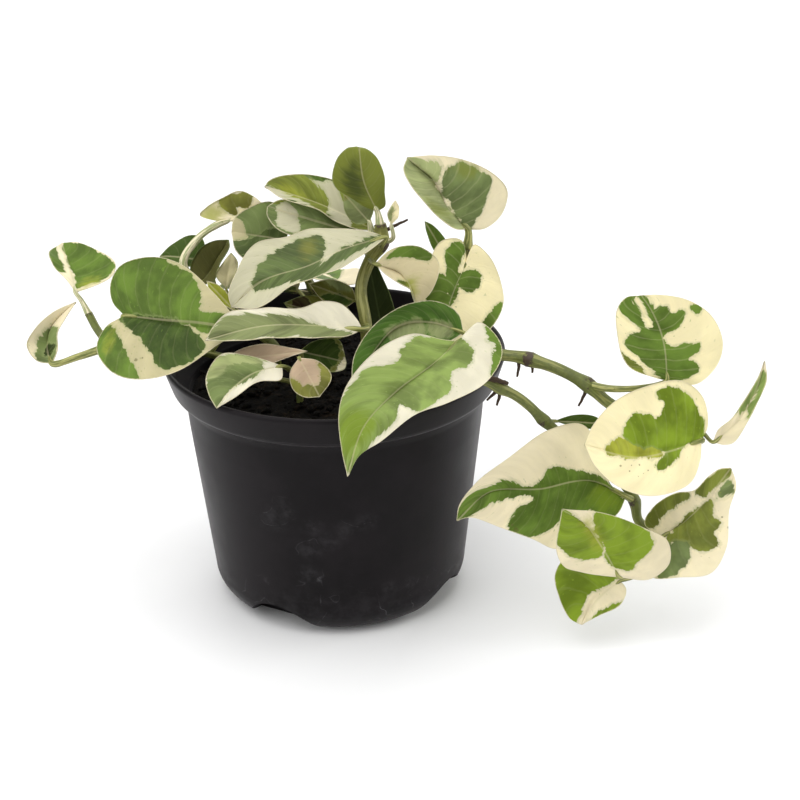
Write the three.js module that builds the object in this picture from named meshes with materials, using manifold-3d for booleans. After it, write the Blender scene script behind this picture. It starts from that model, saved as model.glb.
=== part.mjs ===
// Potted pothos with cream-marked leaves, in a round nursery pot.
// Millimetres, +Z up, origin at the middle of the pot's base, +X along the trailing vines.
import * as THREE from 'three';
import { mergeVertices } from 'three/addons/utils/BufferGeometryUtils.js';
import Module from 'manifold-3d';

const wasm = await Module();
wasm.setup();

// Driving dimensions of the pot
const POT_HEIGHT = 94.4;
const RIM_RADIUS = 62.5;
const COLLAR_HEIGHT = 11;
const COLLAR_FOOT_RADIUS = 59.5;
const BODY_TOP_RADIUS = 55;
const BODY_FOOT_RADIUS = 47.2;
const BASE_CORNER = 12;
const WALL = 1.6;
const FLOOR = 2;
const DRAIN_COUNT = 4;
const DRAIN_TURN = 60;
const DRAIN_WIDTH = 30;
const DRAIN_HEIGHT = 11;
const DRAIN_LENGTH = 20;
const DRAIN_INSET = 4;
const DRAIN_SIDES = 24;
const POT_SIDES = 40;

// Driving dimensions of the soil
const FIT_GAP = 0.35;
const SOIL_EDGE_HEIGHT = 79.5;
const SOIL_CROWN_HEIGHT = 84.5;
const SOIL_SIDES = 30;
const HOLE_DEPTH_HEIGHT = 70;
const HOLE_LENGTH = 30;
const HOLE_CLEARANCE = 0.4;
const STEM_FOOT_HEIGHT = 70.6;
const STEM_STRAIGHT_HEIGHTS = [85.5, 89];

// Driving dimensions of the leaves and stems
const SMALLEST_DETAIL = 0.03;
const BLADE_THICKNESS = 0.8;
const BLADE_STATIONS = 9;
const BLADE_CELLS = 2;
const PETIOLE_RADIUS = 1.0;
const PETIOLE_SIDES = 5;
const STEM_SIDES = 8;
const NODE_SWELL = 1.3;
const ROOT_RADIUS = 0.8;
const STUB_RADIUS = 1.3;
// Direction that most blades turn their faces to
const LIGHT_SIDE = new THREE.Vector3(0, -0.911, 0.413);

const plant = new THREE.Group();

function material(color, roughness) {
  return new THREE.MeshStandardMaterial({ color, roughness, metalness: 0 });
}

function addPart(name, geometry, look) {
  const mesh = new THREE.Mesh(geometry, look);
  mesh.name = name;
  plant.add(mesh);
}

const vector = ([x, y, z]) => new THREE.Vector3(x, y, z);

// Solid from a closed geometry, for joining and cutting
function toSolid(geometry) {
  const bare = geometry.clone();
  bare.deleteAttribute('normal');
  bare.deleteAttribute('uv');
  const merged = mergeVertices(bare, 1e-4);
  return new wasm.Manifold(new wasm.Mesh({
    numProp: 3,
    vertProperties: new Float32Array(merged.attributes.position.array),
    triVerts: new Uint32Array(merged.index.array),
  }));
}

function fromSolid(solid) {
  const { vertProperties, triVerts } = solid.getMesh();
  const geometry = new THREE.BufferGeometry();
  geometry.setAttribute('position', new THREE.BufferAttribute(new Float32Array(vertProperties), 3));
  geometry.setIndex(new THREE.BufferAttribute(new Uint32Array(triVerts), 1));
  geometry.computeVertexNormals();
  return geometry;
}

function join(solids) {
  return fromSolid(solids.reduce((whole, next) => whole.add(next)).simplify(SMALLEST_DETAIL));
}

function indexed(points, triangles) {
  const geometry = new THREE.BufferGeometry();
  geometry.setAttribute('position', new THREE.Float32BufferAttribute(points.flatMap((p) => p.toArray()), 3));
  geometry.setIndex(triangles.flat());
  geometry.computeVertexNormals();
  return geometry;
}

// Closed rod along a smooth path; radiusAt takes 0 at the start and 1 at the end
function rod(path, steps, radiusAt, sides) {
  const curve = new THREE.CatmullRomCurve3(path, false, 'centripetal');
  const { normals, binormals } = curve.computeFrenetFrames(steps, false);
  const points = [];
  for (let i = 0; i <= steps; i += 1) {
    const centre = curve.getPointAt(i / steps);
    const radius = radiusAt(i / steps);
    for (let k = 0; k < sides; k += 1) {
      const angle = (2 * Math.PI * k) / sides;
      points.push(centre.clone()
        .addScaledVector(normals[i], radius * Math.cos(angle))
        .addScaledVector(binormals[i], radius * Math.sin(angle)));
    }
  }
  const first = points.push(curve.getPointAt(0)) - 1;
  const last = points.push(curve.getPointAt(1)) - 1;
  const triangles = [];
  for (let k = 0; k < sides; k += 1) {
    const next = (k + 1) % sides;
    for (let i = 0; i < steps; i += 1) {
      const [a, b, c, d] = [i * sides + k, i * sides + next, (i + 1) * sides + next, (i + 1) * sides + k];
      triangles.push([a, b, c], [a, c, d]);
    }
    triangles.push([first, next, k], [last, steps * sides + k, steps * sides + next]);
  }
  return indexed(points, triangles);
}

// Pot: lathed wall with a stepped collar, raised by low drain arches around the corner of the base
function pot() {
  const collarFoot = POT_HEIGHT - COLLAR_HEIGHT;
  const cornerStart = BODY_FOOT_RADIUS - BASE_CORNER;
  const profile = [new THREE.Vector2(0, 0), new THREE.Vector2(cornerStart, 0)];
  for (const degrees of [30, 60, 90]) {
    const angle = THREE.MathUtils.degToRad(degrees);
    profile.push(new THREE.Vector2(
      cornerStart + BASE_CORNER * Math.sin(angle),
      BASE_CORNER * (1 - Math.cos(angle)),
    ));
  }
  profile.push(
    new THREE.Vector2(BODY_TOP_RADIUS - 1.2, collarFoot - 15),
    new THREE.Vector2(BODY_TOP_RADIUS - 0.3, collarFoot - 5),
    new THREE.Vector2(BODY_TOP_RADIUS + 0.6, collarFoot - 2),
    new THREE.Vector2(COLLAR_FOOT_RADIUS - 1, collarFoot - 0.6),
    new THREE.Vector2(COLLAR_FOOT_RADIUS, collarFoot + 0.6),
    new THREE.Vector2(RIM_RADIUS, POT_HEIGHT - 1.2),
    new THREE.Vector2(RIM_RADIUS - 0.5, POT_HEIGHT),
    new THREE.Vector2(RIM_RADIUS - 1.8, POT_HEIGHT),
    new THREE.Vector2(RIM_RADIUS - 2.4, POT_HEIGHT - 1.2),
    new THREE.Vector2(COLLAR_FOOT_RADIUS - WALL, collarFoot + 1.6),
    new THREE.Vector2(BODY_TOP_RADIUS - WALL, collarFoot - 2),
    new THREE.Vector2(BODY_TOP_RADIUS - WALL - 1.2, collarFoot - 15),
    new THREE.Vector2(BODY_FOOT_RADIUS - WALL, BASE_CORNER + 1),
    new THREE.Vector2(BODY_FOOT_RADIUS - WALL - 4, BASE_CORNER / 2),
    new THREE.Vector2(cornerStart, FLOOR),
    new THREE.Vector2(0, FLOOR),
  );
  let solid = toSolid(new THREE.LatheGeometry(profile, POT_SIDES).rotateX(Math.PI / 2));
  const arch = (DRAIN_WIDTH ** 2 / 4 + DRAIN_HEIGHT ** 2) / (2 * DRAIN_HEIGHT);
  for (let i = 0; i < DRAIN_COUNT; i += 1) {
    const angle = THREE.MathUtils.degToRad(DRAIN_TURN + (360 * i) / DRAIN_COUNT);
    const drill = new THREE.CylinderGeometry(arch, arch, DRAIN_LENGTH, DRAIN_SIDES);
    drill.rotateZ(-Math.PI / 2);
    drill.translate(BODY_FOOT_RADIUS - DRAIN_INSET, 0, DRAIN_HEIGHT - arch);
    drill.rotateZ(angle);
    solid = solid.subtract(toSolid(drill));
  }
  return fromSolid(solid);
}

// Soil: fills the pot up to a low crown, with one plain hole for each stem
function soil(stems) {
  const bed = new THREE.LatheGeometry([
    new THREE.Vector2(0, FLOOR + FIT_GAP),
    new THREE.Vector2(BODY_FOOT_RADIUS - BASE_CORNER - 1.5, FLOOR + FIT_GAP),
    new THREE.Vector2(BODY_FOOT_RADIUS - WALL - 5.5, BASE_CORNER / 2 + 1.5),
    new THREE.Vector2(BODY_FOOT_RADIUS - WALL - 0.8, BASE_CORNER + 2),
    new THREE.Vector2(BODY_TOP_RADIUS - WALL - 1.9, SOIL_EDGE_HEIGHT - 10),
    new THREE.Vector2(BODY_TOP_RADIUS - WALL - 1, SOIL_EDGE_HEIGHT),
    new THREE.Vector2(47, SOIL_EDGE_HEIGHT + 1.8),
    new THREE.Vector2(30, SOIL_CROWN_HEIGHT - 1.2),
    new THREE.Vector2(12, SOIL_CROWN_HEIGHT),
    new THREE.Vector2(0, SOIL_CROWN_HEIGHT),
  ], SOIL_SIDES);
  bed.rotateX(Math.PI / 2);
  let solid = toSolid(bed);
  for (const { foot, radius } of stems) {
    const reach = radius + HOLE_CLEARANCE;
    const drill = new THREE.CylinderGeometry(reach, reach, HOLE_LENGTH, STEM_SIDES);
    drill.rotateX(Math.PI / 2);
    drill.translate(foot[0], foot[1], HOLE_DEPTH_HEIGHT + HOLE_LENGTH / 2);
    solid = solid.subtract(toSolid(drill));
  }
  return fromSolid(solid);
}

// Stems: foot in the soil [x, y], then the points that the stem passes, its swollen nodes as
// indices into those points, short aerial roots or dry tips as [point index, direction], and the
// stubs of cut leaf stalks as points of their own
const STEMS = {
  vine_upper: {
    foot: [34, -4], radius: 2.2, nodes: [4, 6],
    points: [[42, -9, 93.5], [52, -13, 98], [61, -16, 97.4], [66, -18, 97.4], [70, -20, 97.2],
      [79, -24, 95.4], [90, -28, 90.5], [97, -30, 84.5], [111.5, -36, 78], [122, -39, 75.5], [129, -41.5, 74.3]],
    roots: [[3, [-0.3, -0.5, -7.5]], [4, [1, -0.5, -5]], [6, [-3, -0.5, -8]]],
    stubs: [],
  },
  vine_lower: {
    foot: [26, -20], radius: 1.8, nodes: [3, 6, 9, 11],
    points: [[36, -27, 95], [45, -32.5, 97.8], [53, -37, 97.1], [58.5, -37, 94], [64, -36.5, 90.8],
      [69, -36, 86.3], [74, -36, 80.8], [87, -36, 68.8], [99.5, -38, 59.6], [106, -42, 51.6],
      [107.5, -44, 44.5], [113, -45, 38.8], [115.3, -47.5, 34.2], [109.3, -52, 30.3]],
    roots: [[3, [-1, -0.5, -6.5]], [3, [-4.5, -0.5, -4.5]]],
    stubs: [[[53, -37.5, 98.3], [57.5, -38, 97.4], [61.5, -38, 96]]],
  },
  stem_crown: {
    foot: [12, -6], radius: 2.3, nodes: [3],
    points: [[12, -8, 106], [10.5, -1, 119], [14, 3, 127.5], [18, 4.6, 133], [18.3, 5.3, 137], [17.8, 5.6, 140]],
    roots: [[4, [9.5, -0.5, 4.8]]],
    stubs: [],
  },
  stem_right: {
    foot: [38, 8], radius: 1.5, nodes: [2],
    points: [[43, 10, 105], [47.8, 12, 119], [49.3, 11.6, 128]],
    roots: [],
    stubs: [],
  },
  stem_left: {
    foot: [-34, -2], radius: 1.5, nodes: [3],
    points: [[-45, -4, 95], [-60, -6, 97], [-72, -5, 97.5], [-80, -5, 99.5], [-85, -1, 103.5],
      [-88.5, 1.5, 109.5]],
    roots: [],
    stubs: [],
  },
  stem_back_left: {
    foot: [-22, 14], radius: 1.9, nodes: [2],
    points: [[-31, 15, 97], [-42, 15, 106], [-50, 14.5, 114]],
    roots: [],
    stubs: [],
  },
  stem_front: {
    foot: [-12, -22], radius: 1.3, nodes: [2],
    points: [[-12.3, -24, 91.5], [-12.8, -25.8, 94.5], [-13.5, -27.5, 97.5]],
    roots: [],
    stubs: [],
  },
  stem_back: {
    foot: [-2, 24], radius: 1.6, nodes: [1],
    points: [[-4, 24, 98], [-8, 21, 110], [-12.5, 15, 123]],
    roots: [],
    stubs: [],
  },
};

function stemPath({ foot: [x, y], points }) {
  const upright = [STEM_FOOT_HEIGHT, ...STEM_STRAIGHT_HEIGHTS].map((z) => [x, y, z]);
  return [...upright, ...points].map(vector);
}

// Rod of a stem with its swollen nodes, made larger all over by extra
function stemRod(spec, extra = 0) {
  const path = stemPath(spec);
  const end = path.at(-1);
  path.push(end.clone().add(end.clone().sub(path.at(-2)).setLength(0.1 + extra)));
  const curve = new THREE.CatmullRomCurve3(path, false, 'centripetal');
  const length = curve.getLength();
  const steps = Math.max(8, Math.round(length / (spec.radius * 3.2)));
  const nodes = spec.nodes.map((index) => {
    const target = vector(spec.points[index]);
    let best = 0;
    for (let i = 0; i <= 200; i += 1) {
      if (curve.getPointAt(i / 200).distanceTo(target) < curve.getPointAt(best).distanceTo(target)) {
        best = i / 200;
      }
    }
    return best;
  });
  const radiusAt = (t) => extra + nodes.reduce((radius, node) => {
    const away = ((t - node) * length) / (spec.radius * 1.6);
    return Math.max(radius, spec.radius * (1 + (NODE_SWELL - 1) * Math.exp(-away * away)));
  }, spec.radius);
  return rod(path, steps, radiusAt, STEM_SIDES);
}

function stem(spec) {
  const pieces = [stemRod(spec)];
  for (const [index, direction] of spec.roots) {
    const start = vector(spec.points[index]);
    const end = start.clone().add(vector(direction));
    const middle = start.clone().lerp(end, 0.5);
    pieces.push(rod([start, middle, end], 3, (t) => ROOT_RADIUS * (1.1 - 0.75 * t), 5));
  }
  for (const points of spec.stubs) {
    pieces.push(rod(points.map(vector), 3, () => STUB_RADIUS, PETIOLE_SIDES));
  }
  return join(pieces.map(toSolid));
}

// Directions of a blade: along its chord, across to its left, and out of its face
function bladeAxes({ base, tip, roll = 0 }) {
  const along = vector(tip).sub(vector(base)).normalize();
  const face = LIGHT_SIDE.clone().addScaledVector(along, -LIGHT_SIDE.dot(along)).normalize();
  face.applyAxisAngle(along, THREE.MathUtils.degToRad(roll));
  return { along, face, left: new THREE.Vector3().crossVectors(face, along) };
}

// Smooth line in the blade's own plane through [along, across] points
function planeCurve(points) {
  return new THREE.CatmullRomCurve3(points.map(([a, b]) => new THREE.Vector3(a, b, 0)), false, 'centripetal');
}

// Blade: between the midrib and two drawn edges, bowed along its length, folded down to the midrib,
// cupped towards its edges and gently waved, with the same triangles on both faces
function blade(spec) {
  const { along, face, left } = bladeAxes(spec);
  const origin = vector(spec.base);
  const length = origin.distanceTo(vector(spec.tip));
  const end = [length, 0];
  const rib = planeCurve([[0, 0], ...(spec.rib ?? [[length / 2, 0]]), end]);
  const edges = [spec.left, spec.right].map((edge) => planeCurve([[0, 0], ...edge, end]));
  const [foldLeft, foldRight] = spec.fold ?? [12, 12];
  const { bow = 3, cup = 0, wave = 0.6, phase = 0 } = spec;
  const rows = [];
  for (let i = 0; i <= BLADE_STATIONS; i += 1) {
    const t = i / BLADE_STATIONS;
    const middle = rib.getPointAt(t);
    const row = [];
    for (let j = -BLADE_CELLS; j <= BLADE_CELLS; j += 1) {
      const side = j < 0 ? 1 : 0;
      const v = Math.abs(j) / BLADE_CELLS;
      const edge = edges[side].getPointAt(t);
      const flat = middle.clone().lerp(edge, v);
      const fold = THREE.MathUtils.degToRad(side === 0 ? foldLeft : foldRight);
      const height = bow * 4 * t * (1 - t)
        - Math.tan(fold) * Math.abs(edge.y - flat.y)
        + cup * v * v
        + wave * v * v * Math.sin(2 * Math.PI * (2 * t + phase + 0.37 * side)) * Math.sin(Math.PI * t);
      row.push(origin.clone()
        .addScaledVector(along, flat.x)
        .addScaledVector(left, flat.y)
        .addScaledVector(face, height));
    }
    rows.push(row);
  }
  return { sheet: thicken(rows), middle: rows.map((row) => row[BLADE_CELLS]) };
}

// Closed sheet from rows of points whose first and last rows shrink to one point
function thicken(rows) {
  const width = rows[0].length;
  const last = rows.length - 1;
  const normalAt = (i, j) => {
    const [i0, i1] = [Math.max(i - 1, 0), Math.min(i + 1, last)];
    const [j0, j1] = [Math.max(j - 1, 0), Math.min(j + 1, width - 1)];
    const row = Math.min(Math.max(i, 1), last - 1);
    const lengthways = rows[i1][j].clone().sub(rows[i0][j]);
    const sideways = rows[row][j1].clone().sub(rows[row][j0]);
    return lengthways.cross(sideways).normalize();
  };
  const points = [];
  const faces = [1, -1].map((sign) => rows.map((row, i) => {
    const shared = i === 0 || i === last;
    const middle = (width - 1) / 2;
    const own = row.map((point, j) => {
      if (shared && j > 0) return null;
      return points.push(point.clone()
        .addScaledVector(normalAt(i, shared ? middle : j), (sign * BLADE_THICKNESS) / 2)) - 1;
    });
    return own.map((index) => index ?? own[0]);
  }));
  const triangles = [];
  const add = (a, b, c) => {
    if (a !== b && b !== c && c !== a) triangles.push([a, b, c]);
  };
  for (let i = 0; i < last; i += 1) {
    for (let j = 0; j < width - 1; j += 1) {
      const [up, down] = faces;
      add(up[i][j], up[i + 1][j], up[i + 1][j + 1]);
      add(up[i][j], up[i + 1][j + 1], up[i][j + 1]);
      add(down[i][j], down[i + 1][j + 1], down[i + 1][j]);
      add(down[i][j], down[i][j + 1], down[i + 1][j + 1]);
    }
    for (const [j, flip] of [[0, true], [width - 1, false]]) {
      const [a, b] = [faces[0][i][j], faces[0][i + 1][j]];
      const [c, d] = [faces[1][i + 1][j], faces[1][i][j]];
      if (flip) {
        add(a, d, c);
        add(a, c, b);
      } else {
        add(a, c, d);
        add(a, b, c);
      }
    }
  }
  return indexed(points, triangles);
}

// Leaf: a blade with its leaf stalk, which is cut off just clear of the stem that carries it
function leaf(spec) {
  const { sheet, middle } = blade(spec);
  const carrier = STEMS[spec.on];
  const passed = stemPath(carrier);
  const start = passed[passed.length - carrier.points.length + spec.at];
  const turns = (spec.via ?? []).map(vector);
  const path = [start, ...turns, vector(spec.base), middle[1].clone()];
  const radius = spec.stalk ?? PETIOLE_RADIUS;
  const whole = rod(path, 4 + 2 * turns.length, (t) => radius * (1.15 - 0.55 * t), PETIOLE_SIDES);
  const free = toSolid(whole).subtract(toSolid(stemRod(carrier, FIT_GAP)));
  const stalk = free.decompose().sort((one, other) => other.volume() - one.volume())[0];
  return join([toSolid(sheet), stalk]);
}

// Colours by their look from a step away
const TONES = {
  cream: 0xe6dfc4, butter: 0xe9dfae, grey_green: 0x8f9a72, leaf_green: 0x76903e, deep_green: 0x4c6428, olive: 0x8a8c4a,
};

// Leaves. on, at: the stem and the point of it that carries the leaf; via: bends of the leaf stalk;
// base, tip: ends of the midrib; roll: turn about it, in degrees; left, right, rib: points of the
// edges and of the midrib in the blade's own plane, as [along, across] from the base
const LEAVES = {
  // Left of the pot
  leaf_left_large: {
    on: 'stem_left', at: 2, via: [[-75, -9, 107], [-74, -15, 114]], tone: 'leaf_green',
    base: [-72.5, -20, 117], tip: [-29.5, -30, 114.5], roll: -15, bow: 3, fold: [8, 12],
    left: [[-5, 4], [-7, 10.5], [-4.5, 17.5], [5, 22], [18, 20], [31, 11.5]],
    right: [[-5.5, -5], [-7, -13.5], [-0.5, -21], [9, -23.5], [24, -18], [36.5, -6]],
    rib: [[13, 0.5], [28, 1]],
  },
  leaf_left_top: {
    on: 'stem_left', at: 5, via: [[-90.5, 2, 114]], tone: 'leaf_green',
    base: [-92.5, 2, 117.5], tip: [-99.5, 24, 128.5], roll: 15, bow: 2, fold: [15, 8],
    left: [[6.5, 2.5], [14, 5.5], [21, 5.5]],
    right: [[0.5, -7], [3, -14], [8, -16.5], [17.5, -11.5], [23.5, -5.5]],
    rib: [[10, 0], [19, 0]],
  },
  leaf_left_rolled: {
    on: 'stem_left', at: 3, via: [[-92, -6.5, 96]], tone: 'olive', stalk: 1.5,
    base: [-101.5, -8, 94], tip: [-92.5, 2, 114], roll: 0, bow: 1, fold: [45, 45],
    left: [[-1, 5.5], [3, 11], [9, 10.5], [18, 6]],
    right: [[5.5, 0], [11, 2], [16.5, 1.5]],
    rib: [[4, 4], [12, 5.5]],
  },
  // Behind, on the left
  leaf_back_dark: {
    on: 'stem_back_left', at: 1, via: [[-44, 18, 114]], tone: 'deep_green',
    base: [-46, 20, 121.5], tip: [-64, 24, 122.5], roll: 15, bow: 2,
    left: [[4, 3], [10, 2.5]],
    right: [[3.5, -8.5], [9, -8.5], [14.5, -4.5]],
  },
  leaf_back_folded: {
    on: 'stem_back_left', at: 1, via: [[-46, 11, 112]], tone: 'deep_green', stalk: 0.9,
    base: [-48.5, 10, 116.5], tip: [-37.5, 16, 131.5], roll: -10, bow: 1, fold: [35, 35],
    left: [[3, 6], [10.5, 7], [16, 4.5]],
    right: [[3.5, -4], [11, -2.5], [17.5, -2]],
  },
  leaf_back_pale: {
    on: 'stem_back_left', at: 0, via: [[-36, 9, 108]], tone: 'grey_green', stalk: 0.8,
    base: [-38.5, 6, 116], tip: [-36.5, 12, 128], roll: 10, bow: 1,
    left: [[4.5, 4.5], [9.5, 2.5]],
    right: [[3, -1.5], [10, -3]],
  },
  leaf_back_curled: {
    on: 'stem_back_left', at: 2, via: [[-54.5, 15.5, 123], [-48.5, 19, 131.5], [-41.5, 20, 136]], tone: 'olive',
    base: [-38, 22, 136.5], tip: [-24.6, 19, 143.9], roll: 10, bow: 1, stalk: 1.6,
    left: [[-4.5, 2.5], [-8.5, 6.5], [-4.5, 8], [3.5, 8.5], [10, 8], [14, 3.5]],
    right: [[2, -1], [10.5, -1]],
  },
  leaf_back_olive: {
    on: 'stem_left', at: 0, via: [[-40, -2, 101]], tone: 'olive', stalk: 0.8,
    base: [-35, 0, 109.5], tip: [-45.5, 6, 119.5], bow: 1,
    left: [[7, 2], [12.5, 1.5]],
    right: [[6, -2.5], [12, -2]],
  },
  // Middle of the plant
  leaf_mid_round: {
    on: 'stem_back', at: 2, via: [[-14, 15, 127]], tone: 'grey_green',
    base: [-16.4, 15, 130.9], tip: [-35.6, 7, 137.5], roll: 20, bow: 3,
    left: [[5, 9], [15, 12.5], [21, 8]],
    right: [[0, -8.5], [7, -13], [16, -9.5], [21.5, -4.5]],
  },
  leaf_mid_striped: {
    on: 'stem_crown', at: 3, tone: 'olive',
    base: [16, 16, 133.5], tip: [-23.5, 14, 152.1], roll: 25, bow: 4,
    left: [[9.5, 4], [24, 3], [36, 3]],
    right: [[8.5, -8], [19, -10.5], [27, -10.5], [38, -6.5], [43, -2.5]],
  },
  leaf_mid_olive: {
    on: 'stem_crown', at: 2, via: [[12, 9, 130]], tone: 'grey_green',
    base: [11, 14, 132.8], tip: [-22.6, 11, 145.7], roll: 25, bow: 2,
    left: [[6, 5.5], [18.5, 10], [30.5, 8.5], [35.5, 4]],
    right: [[7, -3.5], [15, -4.5], [25, -4.5], [32.5, -3.5]],
  },
  leaf_mid_long: {
    on: 'stem_crown', at: 3, via: [[18.5, -0.5, 134.5]], tone: 'cream',
    base: [20, -1, 137.4], tip: [-35, -18, 118.5], roll: 32, bow: 4, fold: [10, 6],
    left: [[7.5, 3.5], [17.5, 6], [29, 6], [40.5, 5.5], [52, 6.5], [58.5, 2]],
    right: [[4.5, -4.5], [20.5, -13.5], [33, -15.5], [43, -19], [53.5, -11.5], [59.5, -5]],
    rib: [[16, -1.5], [30, -0.5], [47.5, -4]],
  },
  leaf_mid_flat: {
    on: 'stem_crown', at: 0, via: [[13, -15, 108.5]], tone: 'grey_green', stalk: 1.3,
    base: [11, -20, 110], tip: [-43, -38, 114.5], roll: 28, bow: 2, fold: [10, 12],
    left: [[7, 3], [23.5, 2.5], [41, 2], [51.5, 1]],
    right: [[1.5, -4.5], [6, -10.5], [13, -12], [21, -9], [34.5, -10.5], [47, -10], [53, -5.5]],
    rib: [[18.5, -2.5], [36, -3.5]],
  },
  leaf_mid_drooping: {
    on: 'stem_crown', at: 2, tone: 'cream',
    base: [15.8, -6, 129.3], tip: [30.3, -9, 113.8], bow: 2, fold: [6, 35],
    left: [[0, 7], [3, 12.5], [7.5, 16], [15.5, 16.5], [21, 8]],
    right: [[5, 0], [12, 1.5], [15.5, 2.5]],
    rib: [[9, 4.5]],
  },
  leaf_inner_dark: {
    on: 'stem_crown', at: -1, via: [[15.5, 1, 92]], tone: 'deep_green',
    base: [18, 3, 97.5], tip: [13, 11, 125.8], bow: 2, fold: [20, 20],
    left: [[6, 4], [14, 4.5], [22, 3]],
    right: [[6, -5.5], [14, -5.5], [21, -4], [28, -2]],
  },
  leaf_inner_olive: {
    on: 'stem_crown', at: 1, via: [[10.5, 4.5, 113]], tone: 'olive', stalk: 0.8,
    base: [8.5, 6, 110.5], tip: [-8.5, 4, 118.5], roll: -10, bow: 1,
    left: [[4.5, 4.5], [12, 4]],
    right: [[3.5, -4], [11.5, -4.5]],
  },
  leaf_inner_brown: {
    on: 'stem_crown', at: 0, via: [[9.5, 3, 102]], tone: 'olive', stalk: 0.8,
    base: [7, 12, 98.5], tip: [-18, 8, 109.5], bow: 2,
    left: [[4, 6.5], [14, 7], [22, 4]],
    right: [[4, -5.5], [14, -6.5], [22, -4.5]],
  },
  // Top of the plant
  leaf_crown_green: {
    on: 'stem_crown', at: 5, tone: 'deep_green', stalk: 1.2,
    base: [17, 6, 144.5], tip: [11, 2, 169.5], bow: 3, cup: -1.5,
    left: [[3, 3.5], [8, 7], [14, 11.5], [19, 12], [25.5, 8], [27.5, 2]],
    right: [[1, -3], [7.5, -4.5], [14.5, -6], [21.5, -5], [25, -2.5]],
    rib: [[14, 1.5]],
  },
  leaf_crown_sheath: {
    on: 'stem_crown', at: 3, via: [[22.3, 3, 135.5]], tone: 'cream', stalk: 0.9,
    base: [21.8, 2, 141], tip: [23.5, 1, 150.5], bow: 1, fold: [20, 20],
    left: [[4, 2], [8, 1]],
    right: [[4, -2], [8, -1.5]],
  },
  leaf_crown_wing: {
    on: 'stem_crown', at: 3, via: [[14.5, 8, 135.5]], tone: 'butter', stalk: 1.2,
    base: [14, 9, 139.5], tip: [5, 11, 150], bow: 1, fold: [15, 15],
    left: [[3, 4], [9, 4]],
    right: [[3, -4.5], [9, -4]],
  },
  leaf_crown_right: {
    on: 'stem_right', at: 2, tone: 'cream', stalk: 1.5,
    base: [49.5, 12, 135], tip: [28, 2, 166], roll: 8, bow: 3, fold: [25, 6],
    left: [[5.5, 4], [20, 6.5], [32, 6], [37.5, 4]],
    right: [[-4.5, -5], [-5, -13], [0, -19.5], [10.5, -19.5], [23, -14.5], [33, -7]],
    rib: [[13, 0.5], [23, -2]],
  },
  // Right side of the pot
  leaf_right_cream: {
    on: 'stem_right', at: 1, tone: 'butter',
    base: [49, 7, 124.5], tip: [42.3, -8, 98.5], roll: -8, bow: 3, fold: [8, 8],
    left: [[-6.5, 1], [-3.5, 7], [4.5, 13], [12.5, 15.5], [22, 13], [30, 6.5]],
    right: [[-7, -4], [-5, -11], [3.5, -14], [14.5, -14], [24.5, -9.5]],
    rib: [[9.5, -2.5], [19, -3.5]],
  },
  leaf_right_spear: {
    on: 'stem_right', at: 0, via: [[42, 16, 112.5]], tone: 'leaf_green', stalk: 0.8,
    base: [42.5, 18, 120.5], tip: [34, 22, 135], bow: 1,
    left: [[5.5, 2.5], [13.5, 1.5]],
    right: [[6, -3], [14, -2]],
  },
  // Front, over the rim
  leaf_front_dark: {
    on: 'vine_upper', at: 0, via: [[46, -15, 102]], tone: 'deep_green',
    base: [46.5, -24, 109.5], tip: [7, -44, 99.5], roll: 10, bow: 2, fold: [10, 8],
    left: [[9.5, 1.5], [26, 3], [39.5, 3]],
    right: [[-1.5, -6.5], [0.5, -11], [5, -15], [12.5, -17], [22.5, -17], [32, -14], [40.5, -8]],
    rib: [[9, -8.5], [21, -12]],
  },
  leaf_front_large: {
    on: 'vine_lower', at: 1, via: [[45.5, -39, 107]], tone: 'leaf_green', stalk: 1.2,
    base: [45, -44, 115], tip: [5.5, -72, 78], roll: 0, bow: 6, fold: [10, 8],
    left: [[-8.5, 0.5], [-8, 9.5], [-4, 14], [6.5, 15.5], [20.5, 10], [31, 4], [45, 1], [53, -1.5]],
    right: [[4, -5], [10, -14.5], [23.5, -20], [38, -20], [47, -16], [55.5, -7.5]],
    rib: [[13.5, -2.5], [28.5, -6], [45.5, -6.5]],
  },
  leaf_rim_left: {
    on: 'stem_front', at: 2, tone: 'grey_green',
    base: [-17, -34, 102.5], tip: [-39, -54, 96], roll: 15, bow: 3, fold: [10, 10],
    left: [[5.5, 4.5], [12, 1], [21, 1]],
    right: [[3.5, -4], [9.5, -10], [17.5, -14.5], [26.5, -11], [30, -5]],
    rib: [[9, -2.5], [19, -2.5]],
  },
  leaf_rim_cream: {
    on: 'stem_front', at: 0, via: [[-24, -25, 95], [-34, -27, 99]], tone: 'cream', stalk: 0.9,
    base: [-37.5, -27.5, 102], tip: [-8, -31.5, 107], bow: 1,
    left: [[4.5, 3], [14.5, 4.5], [24, 2]],
    right: [[5.5, -2.5], [13.5, -3.5], [22, -1.5]],
  },
  leaf_rim_round: {
    on: 'stem_front', at: 1, via: [[-10.5, -31, 101]], tone: 'olive', stalk: 0.9,
    base: [-11, -36, 106.5], tip: [-4, -44, 95], bow: 1,
    left: [[4.5, 5.5], [11.5, 7]],
    right: [[3, -5], [9, -7], [13.5, -4.5]],
  },
  leaf_rim_shaded: {
    on: 'stem_front', at: 1, via: [[-9, -22, 98.5]], tone: 'deep_green', stalk: 0.9,
    base: [-11.5, -23, 103.5], tip: [5, -20, 97.5], bow: 1,
    left: [[4, 4.5], [13, 7]],
    right: [[2, -4.5], [11.5, -5], [17.5, -2.5]],
  },
  // Upper trailing vine
  leaf_vine_round: {
    on: 'vine_upper', at: 6, via: [[98, -33, 91], [108, -34.5, 91.8]], tone: 'butter', stalk: 1.3,
    base: [117, -36, 95], tip: [108, -28, 124], roll: 8, bow: 2, fold: [10, 8],
    left: [[2.5, 4], [9.5, 12], [19.5, 13], [29, 10.5], [32.5, 5.5]],
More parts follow.
